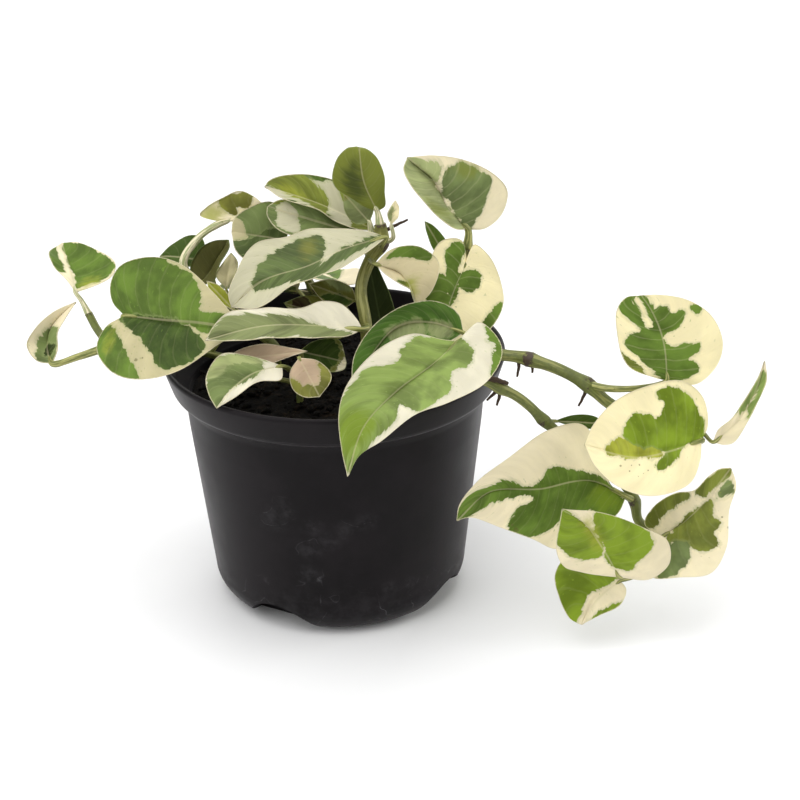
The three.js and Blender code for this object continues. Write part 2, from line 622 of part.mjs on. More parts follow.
    right: [[-2.5, -4], [-4.5, -10], [-0.5, -18.5], [6.5, -22.5], [17, -21.5], [24.5, -15.5], [29.5, -6.5]],
    rib: [[12.5, -3], [23.5, -2.5]],
  },
  leaf_vine_cream: {
    on: 'vine_upper', at: 10, tone: 'butter',
    base: [128.5, -46, 76.5], tip: [86.5, -58, 81.5], roll: 8, bow: 3, fold: [8, 8],
    left: [[2, 7.5], [7.5, 15.5], [23, 19], [35, 14.5], [41.5, 7]],
    right: [[-2.5, -5], [-1, -15], [6, -20.5], [19, -19.5], [32, -14.5], [41, -6]],
    rib: [[12, 3.5], [25.5, 5.5], [36.5, 3]],
  },
  leaf_vine_rolled: {
    on: 'vine_upper', at: 9, via: [[129, -37.5, 76]], tone: 'cream', stalk: 0.9,
    base: [133, -43.5, 74.5], tip: [148.3, -50, 108], bow: 1, fold: [25, 25],
    left: [[5.5, 1], [12.5, -1], [20, -1], [30, -1]],
    right: [[1, -3.5], [3.5, -6], [9, -6.5], [15, -6], [23, -5.5], [31.5, -4]],
    rib: [[8, -2.5], [20, -3.5]],
  },
  // Lower trailing vine
  leaf_trail_large: {
    on: 'vine_lower', at: 9, tone: 'cream', stalk: 1.2,
    base: [103, -44, 54], tip: [42.5, -58, 53], bow: 3, fold: [8, 8],
    left: [[5, 6], [18.5, 9], [28, 14.5], [36.5, 10], [47, 4.5], [57, -0.5]],
    right: [[5.5, -5], [7.5, -17.5], [13.5, -27.5], [26.5, -27], [40, -20], [53.5, -12.5], [60.5, -5.5]],
    rib: [[12.5, -7.5], [31, -7], [49, -8.5]],
  },
  leaf_trail_sliver: {
    on: 'vine_lower', at: 6, tone: 'deep_green', stalk: 0.8,
    base: [78, -31, 78], tip: [96.5, -33, 77.5], bow: 1,
    left: [[7, 2.5], [14, 2.5]],
    right: [[7, -1.5], [14.5, -2]],
  },
  leaf_trail_lime: {
    on: 'vine_lower', at: 13, via: [[106, -57, 32.5]], tone: 'leaf_green',
    base: [99, -64, 32.7], tip: [78, -72, 64], bow: 2, fold: [10, 8],
    left: [[7, 4.5], [20, 12], [27.5, 11], [34.5, 4.5]],
    right: [[-9, -8], [-9, -16.5], [0.5, -21], [12, -17], [27.5, -9.5]],
    rib: [[14.5, -2], [27, -3]],
  },
  leaf_trail_low: {
    on: 'vine_lower', at: 12, via: [[110.5, -48.5, 26.5], [105, -51.5, 25.5]], tone: 'leaf_green', stalk: 0.9,
    base: [100.5, -55.5, 26.5], tip: [86.5, -60, 11.5], bow: 1, fold: [10, 8],
    left: [[1, 3.5], [6.5, 5.5], [14, 2.5]],
    right: [[-1.5, -11.5], [5, -20], [13.5, -19], [19, -12], [22, -4.5]],
    rib: [[9.5, -1.5]],
  },
  leaf_trail_right: {
    on: 'vine_lower', at: 11, tone: 'cream',
    base: [115.2, -51, 41.4], tip: [139.2, -46, 65.5], roll: -8, bow: 2, fold: [12, 8],
    left: [[-1, 7.5], [6, 9.5], [14.5, 7.5], [20, 3.5], [26.5, 3.5], [31.5, 2.5]],
    right: [[-7, -4.5], [-12.5, -7.5], [-5.5, -14.5], [3.5, -21], [13.5, -18.5], [23.5, -10], [31.5, -5.5]],
    rib: [[9.5, -2], [22.5, -1.5]],
  },
  // Rear of the plant
  leaf_rear_left: {
    on: 'stem_back', at: 0, via: [[-10, 29, 101]], tone: 'grey_green',
    base: [-14, 34, 104], tip: [-46, 48, 100], roll: 105, bow: 3,
    left: [[-3, 6], [4, 12], [16, 12], [27, 6]],
    right: [[-3, -6], [4, -12], [16, -12], [27, -6]],
  },
  leaf_rear_middle: {
    on: 'stem_back', at: 0, via: [[2, 31, 101]], tone: 'cream',
    base: [4, 38, 104], tip: [-10, 64, 101], roll: 60, bow: 3,
    left: [[-3, 6], [4, 11], [14, 10], [23, 5]],
    right: [[-3, -6], [4, -11], [14, -10], [23, -5]],
  },
  leaf_rear_right: {
    on: 'stem_right', at: -1, via: [[39, 18, 97]], tone: 'leaf_green',
    base: [38, 30, 104], tip: [52, 56, 98], roll: -60, bow: 3,
    left: [[-3, 6], [4, 11], [15, 10], [24, 5]],
    right: [[-3, -6], [4, -11], [15, -10], [24, -5]],
  },
  leaf_rear_high: {
    on: 'stem_back', at: 1, via: [[-10, 25, 117]], tone: 'leaf_green',
    base: [-12, 28, 121], tip: [-34, 38, 125], roll: 90, bow: 2,
    left: [[-2, 5], [4, 8], [13, 7], [20, 4]],
    right: [[-2, -5], [4, -8], [13, -7], [20, -4]],
  },
  leaf_rear_small: {
    on: 'stem_right', at: 1, via: [[48, 18, 115]], tone: 'grey_green', stalk: 0.9,
    base: [48, 23, 112], tip: [61, 37, 106], roll: -70, bow: 2,
    left: [[-1, 4], [4, 7], [12, 6], [17, 3]],
    right: [[-1, -4], [4, -7], [12, -6], [17, -3]],
  },
};

addPart('pot', pot(), material(0x262428, 0.55));
addPart('soil', soil(Object.values(STEMS)), material(0x17120e, 0.98));
for (const [name, spec] of Object.entries(STEMS)) {
  addPart(name, stem(spec), material(0x6f7334, 0.6));
}
for (const [name, spec] of Object.entries(LEAVES)) {
  addPart(name, leaf(spec), material(TONES[spec.tone], 0.5));
}

export default plant;
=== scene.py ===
"""Potted pothos: nursery pot, soil, eight stems and their cream-marked leaves."""

import logging
import math
from collections.abc import Callable
from dataclasses import dataclass, field
from enum import Enum

import bpy
import numpy as np
from mathutils import Matrix, Vector, noise


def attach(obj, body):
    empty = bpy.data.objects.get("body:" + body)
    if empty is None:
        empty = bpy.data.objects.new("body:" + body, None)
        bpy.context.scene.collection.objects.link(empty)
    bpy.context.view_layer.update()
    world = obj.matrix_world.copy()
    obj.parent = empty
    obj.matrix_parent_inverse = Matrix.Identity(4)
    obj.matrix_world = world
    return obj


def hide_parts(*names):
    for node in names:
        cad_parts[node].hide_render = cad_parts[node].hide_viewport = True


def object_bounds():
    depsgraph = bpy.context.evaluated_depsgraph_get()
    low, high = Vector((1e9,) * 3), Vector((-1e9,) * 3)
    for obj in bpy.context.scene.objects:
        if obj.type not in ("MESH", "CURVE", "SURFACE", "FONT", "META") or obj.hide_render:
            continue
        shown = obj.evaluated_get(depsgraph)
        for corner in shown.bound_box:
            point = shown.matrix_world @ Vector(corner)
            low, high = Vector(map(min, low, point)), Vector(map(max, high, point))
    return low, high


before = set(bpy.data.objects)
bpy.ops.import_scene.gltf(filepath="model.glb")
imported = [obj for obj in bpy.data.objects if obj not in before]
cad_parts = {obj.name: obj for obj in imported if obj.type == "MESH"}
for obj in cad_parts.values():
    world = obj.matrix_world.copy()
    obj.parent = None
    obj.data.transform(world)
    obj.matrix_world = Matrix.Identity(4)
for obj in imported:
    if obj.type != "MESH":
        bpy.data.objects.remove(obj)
CAD_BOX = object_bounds()

LOG = logging.getLogger("pothos")
MM = 0.001
SEED = 11
Outline = list[list[float]]
Colour = tuple[float, float, float, float]
Point = tuple[float, float, float]
Faces = list[tuple[int, ...]]
Socket = bpy.types.NodeSocket
# Gives a rod's radius from the run so far, its whole length and the turn about it
Radii = Callable[[float, float, float], float]

# Pot, in millimetres
POT_HEIGHT = 94.4
RIM_RADIUS = 62.5
COLLAR_HEIGHT = 11
COLLAR_FOOT_RADIUS = 59.5
BODY_TOP_RADIUS = 55
BODY_FOOT_RADIUS = 47.2
BASE_CORNER = 12
WALL = 1.6
FLOOR = 2
DRAIN_COUNT = 4
DRAIN_TURN = 60
DRAIN_WIDTH = 30
DRAIN_HEIGHT = 11

# Soil and stems, in millimetres
SOIL_EDGE_HEIGHT = 79.5
SOIL_CROWN_HEIGHT = 84.5
STEM_FOOT_HEIGHT = 70.6
STEM_STRAIGHT_HEIGHTS = [85.5, 89]
NODE_SWELL = 1.3
ROOT_RADIUS = 0.8
STUB_RADIUS = 1.3
# Direction that most blades turn their faces to
LIGHT_SIDE = np.array([0, -0.911, 0.413])
# Side veins of a blade, in radians for each millimetre along its midrib
VEIN_PACE = 1.9
# Half of a blade's thickness at its edge, and what its midrib has more, in millimetres
EDGE_HALF = 0.10
RIB_HALF = 0.20
# Depth of the groove along the midrib, in millimetres
GROOVE = 0.05
# Steps that a stem's path is measured in
PATH_STEPS = 400


class Tone(Enum):
    """Colours of the plant, as red, green and blue from 0 to 255."""

    CREAM = (237, 225, 191)
    BUTTER = (244, 232, 186)
    SAND = (212, 199, 159)
    # Cream darkened as painted shade, for the left and middle leaves that lie in shade
    SHADED_CREAM = (194, 185, 144)
    # Grey cream darkened as painted shade, for the middle leaves that lie in shade
    SHADED_PEARL = (194, 190, 160)
    MILK = (226, 220, 196)
    # Pink blush of the leaf, darkened as painted shade
    SHADED_ROSE = (192, 168, 140)
    LIME = (158, 162, 58)
    BRIGHT = (118, 140, 38)
    FRESH = (128, 147, 78)
    LEAF = (92, 116, 44)
    JADE = (66, 94, 34)
    DEEP = (66, 86, 32)
    SHADE = (48, 58, 28)
    GREY = (112, 126, 76)
    SAGE = (152, 160, 108)
    OLIVE = (122, 122, 56)
    MOSS = (120, 128, 54)
    MIST = (120, 128, 84)
    PINE = (88, 102, 58)
    HUSK = (86, 85, 46)
    BARK = (74, 56, 40)
    STEM = (98, 106, 46)
    STALK = (168, 166, 98)

    def linear(self, gain: float = 1.0) -> Colour:
        """Gives the tone in the renderer's linear values.

        Args:
            gain: Multiplier that lightens or darkens the tone.

        Returns:
            Red, green, blue and a full alpha.
        """
        parts = [value / 255 for value in self.value]
        lin = [p / 12.92 if p <= 0.04045 else ((p + 0.055) / 1.055) ** 2.4 for p in parts]
        return (*[min(1.0, p * gain) for p in lin], 1.0)


class Slot(Enum):
    """Material slots of the part."""

    POT = "pot_plastic"
    SOIL = "potting_soil"
    STEM = "stem_green"
    LEAF = "leaf_green"
    GREY = "leaf_grey_green"
    DEEP = "leaf_deep_green"
    CREAM = "leaf_cream"
    BUTTER = "leaf_butter"
    OLIVE = "leaf_olive"


@dataclass(frozen=True)
class Signal:
    """Output of a node, which can be reckoned with like a number."""

    shader: "Shader"
    socket: Socket

    def __add__(self, other: object) -> "Signal":
        """Adds a value."""
        return self.shader.math("ADD", self, other)

    def __sub__(self, other: object) -> "Signal":
        """Takes a value away."""
        return self.shader.math("SUBTRACT", self, other)

    def __mul__(self, other: object) -> "Signal":
        """Multiplies by a value."""
        return self.shader.math("MULTIPLY", self, other)

    def __abs__(self) -> "Signal":
        """Drops the sign."""
        return self.shader.math("ABSOLUTE", self)


class Shader:
    """Material under construction, with short calls for the nodes that the finishes share."""

    def __init__(self, name: str) -> None:
        """Starts an empty node material.

        Args:
            name: Name of the material.
        """
        self.material = bpy.data.materials.new(name)
        self.material.use_nodes = True
        self.tree = self.material.node_tree
        self.surface = self.tree.nodes["Principled BSDF"]

    def plug(self, socket: Socket, value: object) -> None:
        """Feeds a socket.

        Args:
            socket: The input to feed.
            value: Another node's output, or a plain value.
        """
        if isinstance(value, Signal):
            self.tree.links.new(value.socket, socket)
        else:
            socket.default_value = value

    def node(self, kind: str, inputs: dict[object, object], **settings: object) -> bpy.types.Node:
        """Adds a node.

        Args:
            kind: The node's type.
            inputs: What feeds its inputs, by their name or number.
            **settings: Properties set on it.

        Returns:
            The new node.
        """
        made = self.tree.nodes.new(kind)
        for name, value in settings.items():
            setattr(made, name, value)
        for key, value in inputs.items():
            self.plug(made.inputs[key], value)
        return made

    def read(self, name: str, output: str = "Vector") -> Signal:
        """Reads a value that the mesh carries at each point."""
        return Signal(self, self.node("ShaderNodeAttribute", {}, attribute_name=name).outputs[output])

    def place(self) -> Signal:
        """Gives the point of the object, in metres."""
        return Signal(self, self.node("ShaderNodeTexCoord", {}).outputs["Object"])

    def parts(self, vector: Signal) -> list[Signal]:
        """Splits a vector into its three parts."""
        return [Signal(self, part) for part in self.node("ShaderNodeSeparateXYZ", {0: vector}).outputs]

    def join(self, x: object, y: object, z: object) -> Signal:
        """Joins three values into a vector."""
        return Signal(self, self.node("ShaderNodeCombineXYZ", {0: x, 1: y, 2: z}).outputs[0])

    def distance(self, place: Signal, spot: Point) -> Signal:
        """Measures how far each point lies from a spot."""
        made = self.node("ShaderNodeVectorMath", {0: place, 1: spot}, operation="DISTANCE")
        return Signal(self, made.outputs["Value"])

    def math(self, operation: str, first: object, second: object = 0.0) -> Signal:
        """Works out one step of arithmetic.

        Args:
            operation: Name of the step.
            first: Its first value.
            second: Its second value.

        Returns:
            The result.
        """
        made = self.node("ShaderNodeMath", {0: first, 1: second}, operation=operation)
        return Signal(self, made.outputs[0])

    def noise(self, place: Signal, scale: float, detail: float = 3.0, rough: float = 0.55) -> Signal:
        """Gives smooth chance values around one half.

        Args:
            place: Where the pattern is read.
            scale: How many features fit in one unit.
            detail: How many finer layers are added.
            rough: How strong the finer layers are.

        Returns:
            The value at each point.
        """
        inputs = {"Vector": place, "Scale": scale, "Detail": detail, "Roughness": rough}
        return Signal(self, self.node("ShaderNodeTexNoise", inputs).outputs[0])

    def band(self, value: object, low: float, high: float, soft: bool = True) -> Signal:
        """Turns a value into 0 below low and 1 above high.

        Args:
            value: The value to judge.
            low: Where the result leaves 0.
            high: Where it reaches 1.
            soft: Whether it eases in and out.

        Returns:
            The result, from 0 to 1.
        """
        kind = "SMOOTHSTEP" if soft else "LINEAR"
        made = self.node("ShaderNodeMapRange", {0: value, 1: low, 2: high}, interpolation_type=kind)
        return Signal(self, made.outputs[0])

    def mix(self, amount: object, first: object, second: object) -> Signal:
        """Blends two colours.

        Args:
            amount: How much of the second colour shows.
            first: The first colour.
            second: The second colour.

        Returns:
            The blended colour.
        """
        made = self.node("ShaderNodeMix", {}, data_type="RGBA")
        for key, value in ((0, amount), (6, first), (7, second)):
            self.plug(made.inputs[key], value)
        return Signal(self, made.outputs[2])

    def bump(self, height: Signal, depth: float, strength: float) -> None:
        """Roughens the surface.

        Args:
            height: Height of the relief, from 0 to 1.
            depth: Real depth of the relief in millimetres.
            strength: How much of it shows.
        """
        inputs = {"Strength": strength, "Distance": depth * MM, "Height": height}
        made = self.node("ShaderNodeBump", inputs)
        self.plug(self.surface.inputs["Normal"], Signal(self, made.outputs[0]))

    def dress(self, colour: Signal, rough: Signal, **plain: object) -> bpy.types.Material:
        """Feeds the surface and hands the material over.

        Args:
            colour: Base colour.
            rough: Roughness.
            **plain: Other inputs of the surface, with _ for each space in their names.

        Returns:
            The finished material.
        """
        inputs = {"Base Color": colour, "Roughness": rough}
        inputs |= {title.replace("_", " "): value for title, value in plain.items()}
        for title, value in inputs.items():
            self.plug(self.surface.inputs[title], value)
        return self.material


def toned(colour: Colour, gain: float) -> Colour:
    """Lightens or darkens a linear colour."""
    return (*[part * gain for part in colour[:3]], 1.0)


@dataclass(frozen=True)
class LeafFinish:
    """Blade: a ground tone with areas of up to three tones over it.

    The areas are outlines in the blade's own plane, as [along, across] from its base in
    millimetres. Their edges break up along the side veins, as the real markings do.
    """

    ground: Tone
    first: Tone = Tone.LEAF
    second: Tone = Tone.GREY
    accent: Tone = Tone.LIME
    first_areas: tuple[Outline, ...] = ()
    cut_areas: tuple[Outline, ...] = ()
    second_areas: tuple[Outline, ...] = ()
    accent_areas: tuple[Outline, ...] = ()
    rib: Tone = Tone.BUTTER
    margin: Tone = Tone.CREAM
    margin_width: float = 0.35
    # Dark specks, as [along, across, radius]
    specks: Outline = ()
    pale_stalk: bool = False
    slot: Slot = Slot.LEAF
    # How far the side veins and the fine grain push the edges of an area, in millimetres
    vein_push: float = 5.0
    grain_push: float = 1.2
    # Strengths, from 0 to 1
    flecks: float = 0.6
    veins: float = 0.03
    halo: float = 0.6
    stain: float = 0.75
    speck: float = 0.6
    midrib: float = 0.32
    edging: float = 0.7
    underside: float = 0.35

    def make(self, name: str, seed: float) -> bpy.types.Material:
        """Makes the blade's material.

        Args:
            name: Name of the material.
            seed: Shift of every chance pattern.

        Returns:
            The material.
        """
        shader = Shader(name)
        along, across, edge = shader.parts(shader.read("vein_place"))
        away = abs(across)
        fleck_place = shader.join(along, across * 0.45, seed + 9)
        streaks = shader.noise(shader.join(along, across * 0.42, seed), 0.3, 5.0, 0.62) - 0.5
        fine = shader.noise(fleck_place, 1.9, 3.0, 0.6) - 0.5
        cloud = shader.noise(fleck_place, 0.16, 3.0, 0.55)
        colour = self.marked(shader, streaks, fine, cloud, fleck_place)

        vein = shader.band(shader.math("SINE", along * VEIN_PACE + streaks * 3.0), 0.86, 1.0)
        colour = shader.mix(vein * self.veins, colour, self.rib.linear())
        colour = shader.mix(shader.band(away, 0.5, 0.15) * self.midrib, colour, self.rib.linear(0.7))
        rim = shader.band(edge + fine * 0.8, self.margin_width, self.margin_width * 0.4)
        colour = shader.mix(rim * self.edging, colour, self.margin.linear(0.9))
        colour = shader.mix(shader.read("under", "Fac") * self.underside, colour, Tone.SAGE.linear(1.1))

        shader.bump(vein * 0.2 + fine * 0.5 + shader.band(away, 0.2, 0.9) * 0.15, 0.22, 0.6)
        return shader.dress(
            colour, shader.band(cloud + fine * 0.5, -0.7, 1.9, False), Subsurface_Weight=0.08,
            Subsurface_Radius=(0.0012, 0.0014, 0.0005), Subsurface_Scale=1.0, Specular_IOR_Level=0.1)

    def marked(self, shader: Shader, streaks: Signal, fine: Signal, cloud: Signal,
               fleck_place: Signal) -> Signal:
        """Lays the ground, the areas, the stain, the flecks and the specks over each other.

        Args:
            shader: The material under construction.
            streaks: Chance values that run along the side veins.
            fine: Fine chance values.
            cloud: Broad chance values.
            fleck_place: Where the pattern of flecks is read.

        Returns:
            The colour.
        """
        marks = shader.parts(shader.read("marks"))
        jag = streaks * self.vein_push + fine * self.grain_push
        colour = shader.mix(shader.band(cloud, 0.3, 0.7), self.ground.linear(), self.ground.linear(0.86))
        for place, tone in zip(marks, (self.first, self.second)):
            reach = place + jag
            body = shader.mix(shader.band(cloud, 0.35, 0.65), tone.linear(0.68), tone.linear(1.22))
            body = shader.mix(shader.band(streaks, -0.02, 0.16) * 0.12, body, Tone.FRESH.linear())
            halo = shader.mix(0.5, colour, Tone.SAGE.linear())
            colour = shader.mix(shader.band(reach, -1.1, -0.3) * self.halo, colour, halo)
            colour = shader.mix(shader.band(reach, -0.16, 0.16), colour, body)
        stain = shader.band(marks[2] + streaks * 9.0, -2.4, 3.0)
        colour = shader.mix(stain * self.stain, colour, self.accent.linear())
        near = shader.band(marks[0] + cloud * 4.0, -6.0, 3.0)
        flecks = shader.band(shader.noise(fleck_place, 1.3, 2.0, 0.5), 0.68, 0.72)
        colour = shader.mix(flecks * near * self.flecks, colour, self.first.linear(1.35))
        blade_place = shader.read("blade_place")
        for *spot, radius in self.specks:
            away = shader.distance(blade_place, (*spot, 0.0))
            speck = shader.band(away + fine, radius * 1.1, radius * 0.7)
            colour = shader.mix(speck * self.speck, colour, Tone.HUSK.linear())
        return colour


@dataclass(frozen=True)
class StalkFinish:
    """Leaf stalks: pale olive with lengthwise lines that run from green to cream."""

    green: Tone = Tone.STEM
    pale: Tone = Tone.STALK

    def make(self, name: str) -> bpy.types.Material:
        """Makes the stalk's material.

        Args:
            name: Name of the material.

        Returns:
            The material.
        """
        shader = Shader(name)
        run, turn, _ = shader.parts(shader.read("stem_place"))
        lines = shader.noise(shader.join(run * 0.08, turn * 1.2, 3.0), 1.6, 4.0, 0.6)
        spots = shader.noise(shader.join(run, turn, 5.0), 0.9)
        colour = shader.mix(shader.band(lines, 0.42, 0.6), self.green.linear(), self.pale.linear())
        colour = shader.mix(shader.band(spots, 0.62, 0.75), colour, Tone.OLIVE.linear(0.8))
        shader.bump(lines, 0.15, 0.5)
        return shader.dress(colour, shader.band(spots, -0.9, 1.8, False))


@dataclass(frozen=True)
class StemFinish:
    """Vines: olive green with pale stripes, brown and cracked at the nodes."""

    green: Tone = Tone.STEM
    # Strength of the pale stripes
    striped: float = 0.55

    def make(self, name: str) -> bpy.types.Material:
        """Makes the stem's material.

        Args:
            name: Name of the material.

        Returns:
            The material.
        """
        shader = Shader(name)
        run, turn, scar = shader.parts(shader.read("stem_place"))
        stripes = shader.noise(shader.join(run * 0.05, turn * 1.4, 1.0), 1.5, 3.0, 0.5)
        spots = shader.noise(shader.join(run, turn, 2.0), 0.55, 5.0, 0.65)
        colour = shader.mix(shader.band(spots, 0.3, 0.7), self.green.linear(0.75), self.green.linear(1.15))
        colour = shader.mix(shader.band(stripes, 0.5, 0.62) * self.striped, colour, Tone.STALK.linear())
        ragged = shader.noise(shader.join(run, turn * 1.7, 4.0), 0.9, 5.0, 0.7)
        cracks = shader.band(scar + ragged * 2.2, 1.45, 1.75)
        colour = shader.mix(cracks, colour, Tone.BARK.linear(0.8))
        shader.bump(stripes + cracks * spots, 0.3, 0.7)
        return shader.dress(colour, shader.band(spots, -0.8, 1.6, False))


@dataclass(frozen=True)
class RootFinish:
    """Aerial roots and dry stub ends: matt mottled brown."""

    bark: Tone = Tone.BARK

    def make(self, name: str) -> bpy.types.Material:
        """Makes the root's material.

        Args:
            name: Name of the material.

        Returns:
            The material.
        """
        shader = Shader(name)
        run, turn, _ = shader.parts(shader.read("stem_place"))
        grain = shader.noise(shader.join(run, turn, 8.0), 1.4, 4.0, 0.65)
        colour = shader.mix(shader.band(grain, 0.3, 0.7), self.bark.linear(0.55), self.bark.linear(1.1))
        shader.bump(grain, 0.3, 0.8)
        return shader.dress(colour, shader.band(grain, -1.5, 0.9, False))


@dataclass(frozen=True)
class PotFinish:
    """Near-black moulded plastic with a soft sheen, fine grain, dust and pale scuffs."""

    plastic: Colour = (0.0048, 0.0038, 0.0044, 1.0)
    dust: Colour = (0.34, 0.33, 0.35, 1.0)
    # Dusty scuffs on the wall, as [x, y, z, reach] in millimetres
    scuffs: tuple[tuple[float, float, float, float], ...] = (
        (-22, -46, 50, 9), (-18, -49, 54, 7), (-8, -50, 48, 6), (-9, -49, 38, 7), (-10, -48, 27, 7),
        (-2, -50, 42, 6), (3, -51, 46, 6), (11, -50, 49, 6), (18, -44, 19, 5), (26, -40, 19, 5),
        (40, 33, 50, 10), (36, 36, 30, 8), (-46, 24, 33, 9), (-44, 28, 52, 8), (5, 52, 60, 11),
        (-4, 50, 30, 9),
    )
    # Heights between which the dust at the foot fades out, in millimetres
    dusty_foot: tuple[float, float] = (26, 8)
    # Strengths, from 0 to 1
    worn: float = 0.08
    scratched: float = 0.35

    def make(self, name: str) -> bpy.types.Material:
        """Makes the pot's material.

        Args:
            name: Name of the material.

        Returns:
            The material.
        """
        shader = Shader(name)
        place = shader.place()
        grain = shader.noise(place, 1400.0, 2.0, 0.5)
        cloud = shader.noise(place, 40.0, 4.0, 0.6)
        smear = shader.noise(place, 170.0, 6.0, 0.72)
        near: object = 0.0
        for *spot, reach in self.scuffs:
            away = shader.distance(place, tuple(part * MM for part in spot))
            near = shader.math("MAXIMUM", near, shader.band(away, reach * MM, 0.0))
        foot = shader.band(shader.parts(place)[2], *[height * MM for height in self.dusty_foot])
        haze = near * 0.75 + foot * 0.5
        ticks = shader.band(shader.noise(place, 700.0, 3.0, 0.6) + near * 0.05, 0.72, 0.78)
        worn = shader.math("MAXIMUM", haze * shader.band(smear, 0.38, 0.72), ticks * haze)
        colour = shader.mix(shader.band(cloud, 0.35, 0.7), self.plastic, toned(self.plastic, 1.9))
        colour = shader.mix(worn * self.worn, colour, self.dust)
        path = abs(shader.noise(place, 75.0, 2.0, 0.4) - 0.5)
        hairs = shader.band(path, 0.007, 0.001) * shader.band(smear, 0.42, 0.62)
        colour = shader.mix(hairs * haze * self.scratched, colour, self.dust)
        shader.bump(grain + smear * 0.6, 0.05, 0.5)
        return shader.dress(
            colour, shader.band(cloud + worn, -0.45, 1.9, False), Specular_IOR_Level=0.1, Sheen_Weight=0.1,
            Sheen_Roughness=0.35, Sheen_Tint=(1.0, 0.94, 0.97, 1.0))


@dataclass(frozen=True)
class SoilFinish:
    """Damp potting soil: nearly black, with brown fibres and matt crumbs."""

    dark: Colour = (0.0035, 0.0030, 0.0024, 1.0)
    brown: Colour = (0.022, 0.015, 0.009, 1.0)

    def make(self, name: str) -> bpy.types.Material:
        """Makes the soil's material.

        Args:
            name: Name of the material.

        Returns:
            The material.
        """
        shader = Shader(name)
        place = shader.place()
        crumbs = shader.noise(place, 420.0, 5.0, 0.7)
        patches = shader.noise(place, 90.0, 3.0, 0.6)
        colour = shader.mix(shader.band(crumbs, 0.45, 0.7), self.dark, self.brown)
        colour = shader.mix(shader.band(patches, 0.45, 0.7), colour, self.dark)
        shader.bump(crumbs, 1.0, 1.0)
        return shader.dress(colour, shader.band(crumbs, -2.0, 0.9, False), Specular_IOR_Level=0.1)


def smooth_line(points: Outline, count: int, closed: bool = False) -> np.ndarray:
    """Draws an even smooth line through points.

    Args:
        points: Points that the line passes.
        count: How many steps it is cut into.
        closed: Whether it returns to its start.

    Returns:
        count + 1 points, evenly spaced along the line.
    """
    spots = np.array(points, float)
    if closed:
        spots = np.vstack([spots[-1], spots, spots[:2]])
    else:
        spots = np.vstack([2 * spots[0] - spots[1], spots, 2 * spots[-1] - spots[-2]])
    drawn = []
    u = np.linspace(0, 1, 25)[:, None]
    for a, b, c, d in zip(spots, spots[1:], spots[2:], spots[3:]):
        k0, k1, k2 = (max(np.linalg.norm(q - p) ** 0.5, 1e-4) for p, q in ((a, b), (b, c), (c, d)))
        leave = ((b - a) / k0 - (c - a) / (k0 + k1) + (c - b) / k1) * k1
        arrive = ((c - b) / k1 - (d - b) / (k1 + k2) + (d - c) / k2) * k1
        drawn.append((2 * u**3 - 3 * u**2 + 1) * b + (u**3 - 2 * u**2 + u) * leave
                     + (3 * u**2 - 2 * u**3) * c + (u**3 - u**2) * arrive)
    line = np.vstack([piece[:-1] for piece in drawn] + [drawn[-1][-1:]])
    run = np.concatenate([[0], np.cumsum(np.linalg.norm(np.diff(line, axis=0), axis=1))])
    wanted = np.linspace(0, run[-1], count + 1)
    return np.stack([np.interp(wanted, run, part) for part in line.T], axis=-1)


def depth_inside(places: np.ndarray, outline: Outline) -> np.ndarray:
    """Measures how deep points lie in an outline.

    Args:
        places: Points as rows of [along, across].
        outline: Corners of the outline, which is smoothed.

    Returns:
        Distance to the outline in millimetres, less than 0 outside.
    """
    ring = smooth_line(outline, len(outline) * 5, closed=True)
    start, step = ring[:-1], np.diff(ring, axis=0)
    gap = places[:, None] - start
    part = np.clip((gap * step).sum(-1) / np.maximum((step**2).sum(-1), 1e-9), 0, 1)
    away = np.linalg.norm(gap - part[..., None] * step, axis=-1).min(axis=1)
    up = (start[:, 1] > places[:, 1:]) != (ring[1:, 1] > places[:, 1:])
    slope = step[:, 0] / np.where(step[:, 1] == 0, 1e-9, step[:, 1])
    crossed = up & (places[:, :1] < start[:, 0] + (places[:, 1:] - start[:, 1]) * slope)
    return np.where(crossed.sum(axis=1) % 2 == 1, away, -away)


